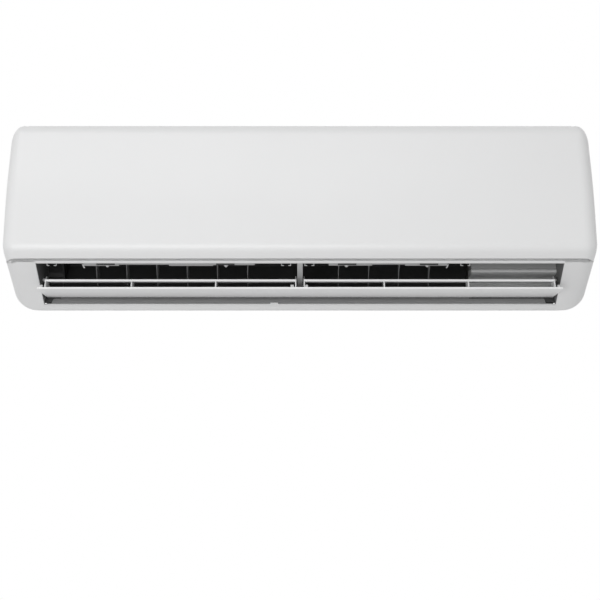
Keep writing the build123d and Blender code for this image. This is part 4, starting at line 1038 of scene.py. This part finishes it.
# ---- air filters ----
filter_spans = {"left": (-444.0, -3.0), "right": (3.0, 302.0)}
filter_path = [(206.2, 139.4), (189.6, 206), (179.6, 227.5), (116.5, 297), (102, 301), (44, 301)]
long_ribs = 5
long_rib_width = 4.0
front_ribs = ((139.4, 143), (202, 208), (246, 252), (290, 296.8))  # lower and upper edge
top_ribs = (44.5, 96.5)
top_rib_width = 5.0
tab_outline = [(204.6, 141.5), (206.8, 141.9), (205.6, 150.5), (203.0, 152.5)]
tab_width = 28.0


def sheet_outline(path, thickness):
    """Closed outline of a sheet whose middle follows path."""
    near = []
    far = []
    for number, point in enumerate(path):
        before = Vector(path[max(0, number - 1)])
        after = Vector(path[min(len(path) - 1, number + 1)])
        across = Vector((before.y - after.y, after.x - before.x)).normalized() * thickness / 2
        near.append(tuple(Vector(point) + across))
        far.append(tuple(Vector(point) - across))
    return near + far[::-1]


def on_path(path, level):
    """The point where the rising part of the filter path reaches level."""
    for (depth, low), (far, high) in zip(path, path[1:]):
        if low <= level <= high:
            return depth + (far - depth) * (level - low) / (high - low), level
    return path[-1]


def air_filters():
    """Curved frames with long and cross ribs, a finger tab and a fine net."""
    path = rounded(filter_path, {1: 30, 2: 40, 3: 12, 4: 14}, 8)
    for side, (x_from, x_to) in filter_spans.items():
        ribs = Form()
        for number in range(long_ribs):
            x = x_from + (x_to - x_from - long_rib_width) * number / (long_ribs - 1)
            ribs.bar(sheet_outline(path, 2.3), x, x + long_rib_width)
        for low, high in front_ribs:
            between = [point for point in path if low + 0.5 < point[1] < high - 0.5 and point[0] > 117]
            stretch = [on_path(path, low)] + between + [on_path(path, high)]
            ribs.bar(sheet_outline(stretch, 2.1), x_from, x_to)
        for depth in top_ribs:
            ribs.block((x_from, x_to), (depth, depth + top_rib_width), (299.9, 302.1))
        ribs.piece(f"filter_frame_{side}", "unit", "filter_plastic", soften=0.2)
        start = (x_from + x_to - tab_width) / 2
        tab = Form().bar(rounded(tab_outline, {2: 2}, 4), start, start + tab_width)
        tab.piece(f"filter_tab_{side}", "unit", "filter_plastic", soften=0.3)
        net = Form().bar(sheet_outline(path, 0.5), x_from + 0.5, x_to - 0.5)
        net.piece(f"filter_net_{side}", "unit", "filter_plastic", replaces=[f"air_filter_{side}"],
                  finish="filter_net")


cross_flow_fan()
coil_packs_with_fins()
return_bends()
refrigerant_pipes()
air_filters()
front_panel()
case_shell()
outlet_frame()
inner_front()
finger_guard()
guide_louvre()
vane_banks()
ledge_details()
blank_wall()
lower_duct_lip()


# ---- surroundings, light and camera, in metres ----
white = grey(1.0)
floor_half = 6.0
floor_level = -1.3
world_light = 0.5  # what the white surroundings give as light
camera_distance = 2.55
camera_rise = math.radians(4.0)
camera_aim = Vector((0.0, 0.0, -0.010))
focal_length = 86.1  # with a sensor 36 mm wide
picture_shift = -0.1275  # sets the unit high in the picture, as in the photograph


def bright_rays(finish):
    """1 for what the camera, a mirror or a clear part sees directly."""
    camera, glossy, through = (finish.node("ShaderNodeLightPath", {}, {}, name) for name in
                               ("Is Camera Ray", "Is Glossy Ray", "Is Transmission Ray"))
    return camera | (glossy | through)


def plain_stage():
    """A pale floor far below the unit, seen as clean white."""
    mesh = bpy.data.meshes.new("studio_floor")
    corners = [(-floor_half, -floor_half), (floor_half, -floor_half), (floor_half, floor_half),
               (-floor_half, floor_half)]
    mesh.from_pydata([(x, y, floor_level) for x, y in corners], [], [(0, 1, 2, 3)])
    floor = bpy.data.objects.new("studio_floor", mesh)
    bpy.context.scene.collection.objects.link(floor)
    finish = Finish("studio_floor", Base_Color=grey(0.8), Roughness=0.9)
    glow = finish.node("ShaderNodeEmission", {}, {"Color": white, "Strength": 1.0})
    shaded = Signal(finish, finish.shader.outputs[0])
    mixed = finish.node("ShaderNodeMixShader", {}, {0: bright_rays(finish), 1: shaded, 2: glow})
    finish.tree.links.new(mixed.socket, finish.tree.nodes["Material Output"].inputs["Surface"])
    mesh.materials.append(finish.material)


class Surround(Finish):
    """The world's nodes, with the same shorthand as a material."""

    def __init__(self, world):
        world.use_nodes = True
        self.tree = world.node_tree
        self.shader = self.tree.nodes["Background"]


def white_world(strength):
    """White all round: plain white to look at, strength as light."""
    world = bpy.data.worlds.new("studio")
    bpy.context.scene.world = world
    surround = Surround(world)
    surround.shader.inputs["Color"].default_value = white
    surround.feed("Strength", strength + bright_rays(surround) * (1.0 - strength))


def soft_lamp(name, place, aim, size, watts):
    """A rectangular lamp at place that faces aim."""
    light = bpy.data.lights.new(name, "AREA")
    light.shape = "RECTANGLE"
    light.size, light.size_y = size
    light.energy = watts
    lamp = bpy.data.objects.new(name, light)
    lamp.location = place
    lamp.rotation_euler = (Vector(aim) - Vector(place)).to_track_quat("-Z", "Y").to_euler()
    bpy.context.scene.collection.objects.link(lamp)


def photo_camera():
    """The photograph's view, from a little below and straight in front."""
    lens = bpy.data.cameras.new("photo_camera")
    lens.sensor_width = 36.0
    lens.lens = focal_length
    lens.shift_y = picture_shift
    camera = bpy.data.objects.new("photo_camera", lens)
    backward = Vector((0, -math.cos(camera_rise), -math.sin(camera_rise)))
    camera.location = camera_aim + backward * camera_distance
    camera.rotation_euler = (math.radians(90) + camera_rise, 0, 0)
    bpy.context.scene.collection.objects.link(camera)
    bpy.context.scene.camera = camera


plain_stage()
white_world(world_light)
soft_lamp("ceiling_softbox", place=(-0.7, -1.6, 2.2), aim=(0, -0.1, 0), size=(2.8, 1.6), watts=18.5)
soft_lamp("front_fill", place=(-0.75, -3.0, -0.45), aim=(0, 0, 0), size=(2.2, 1.3), watts=30)
photo_camera()
bpy.context.scene.view_settings.view_transform = "Standard"
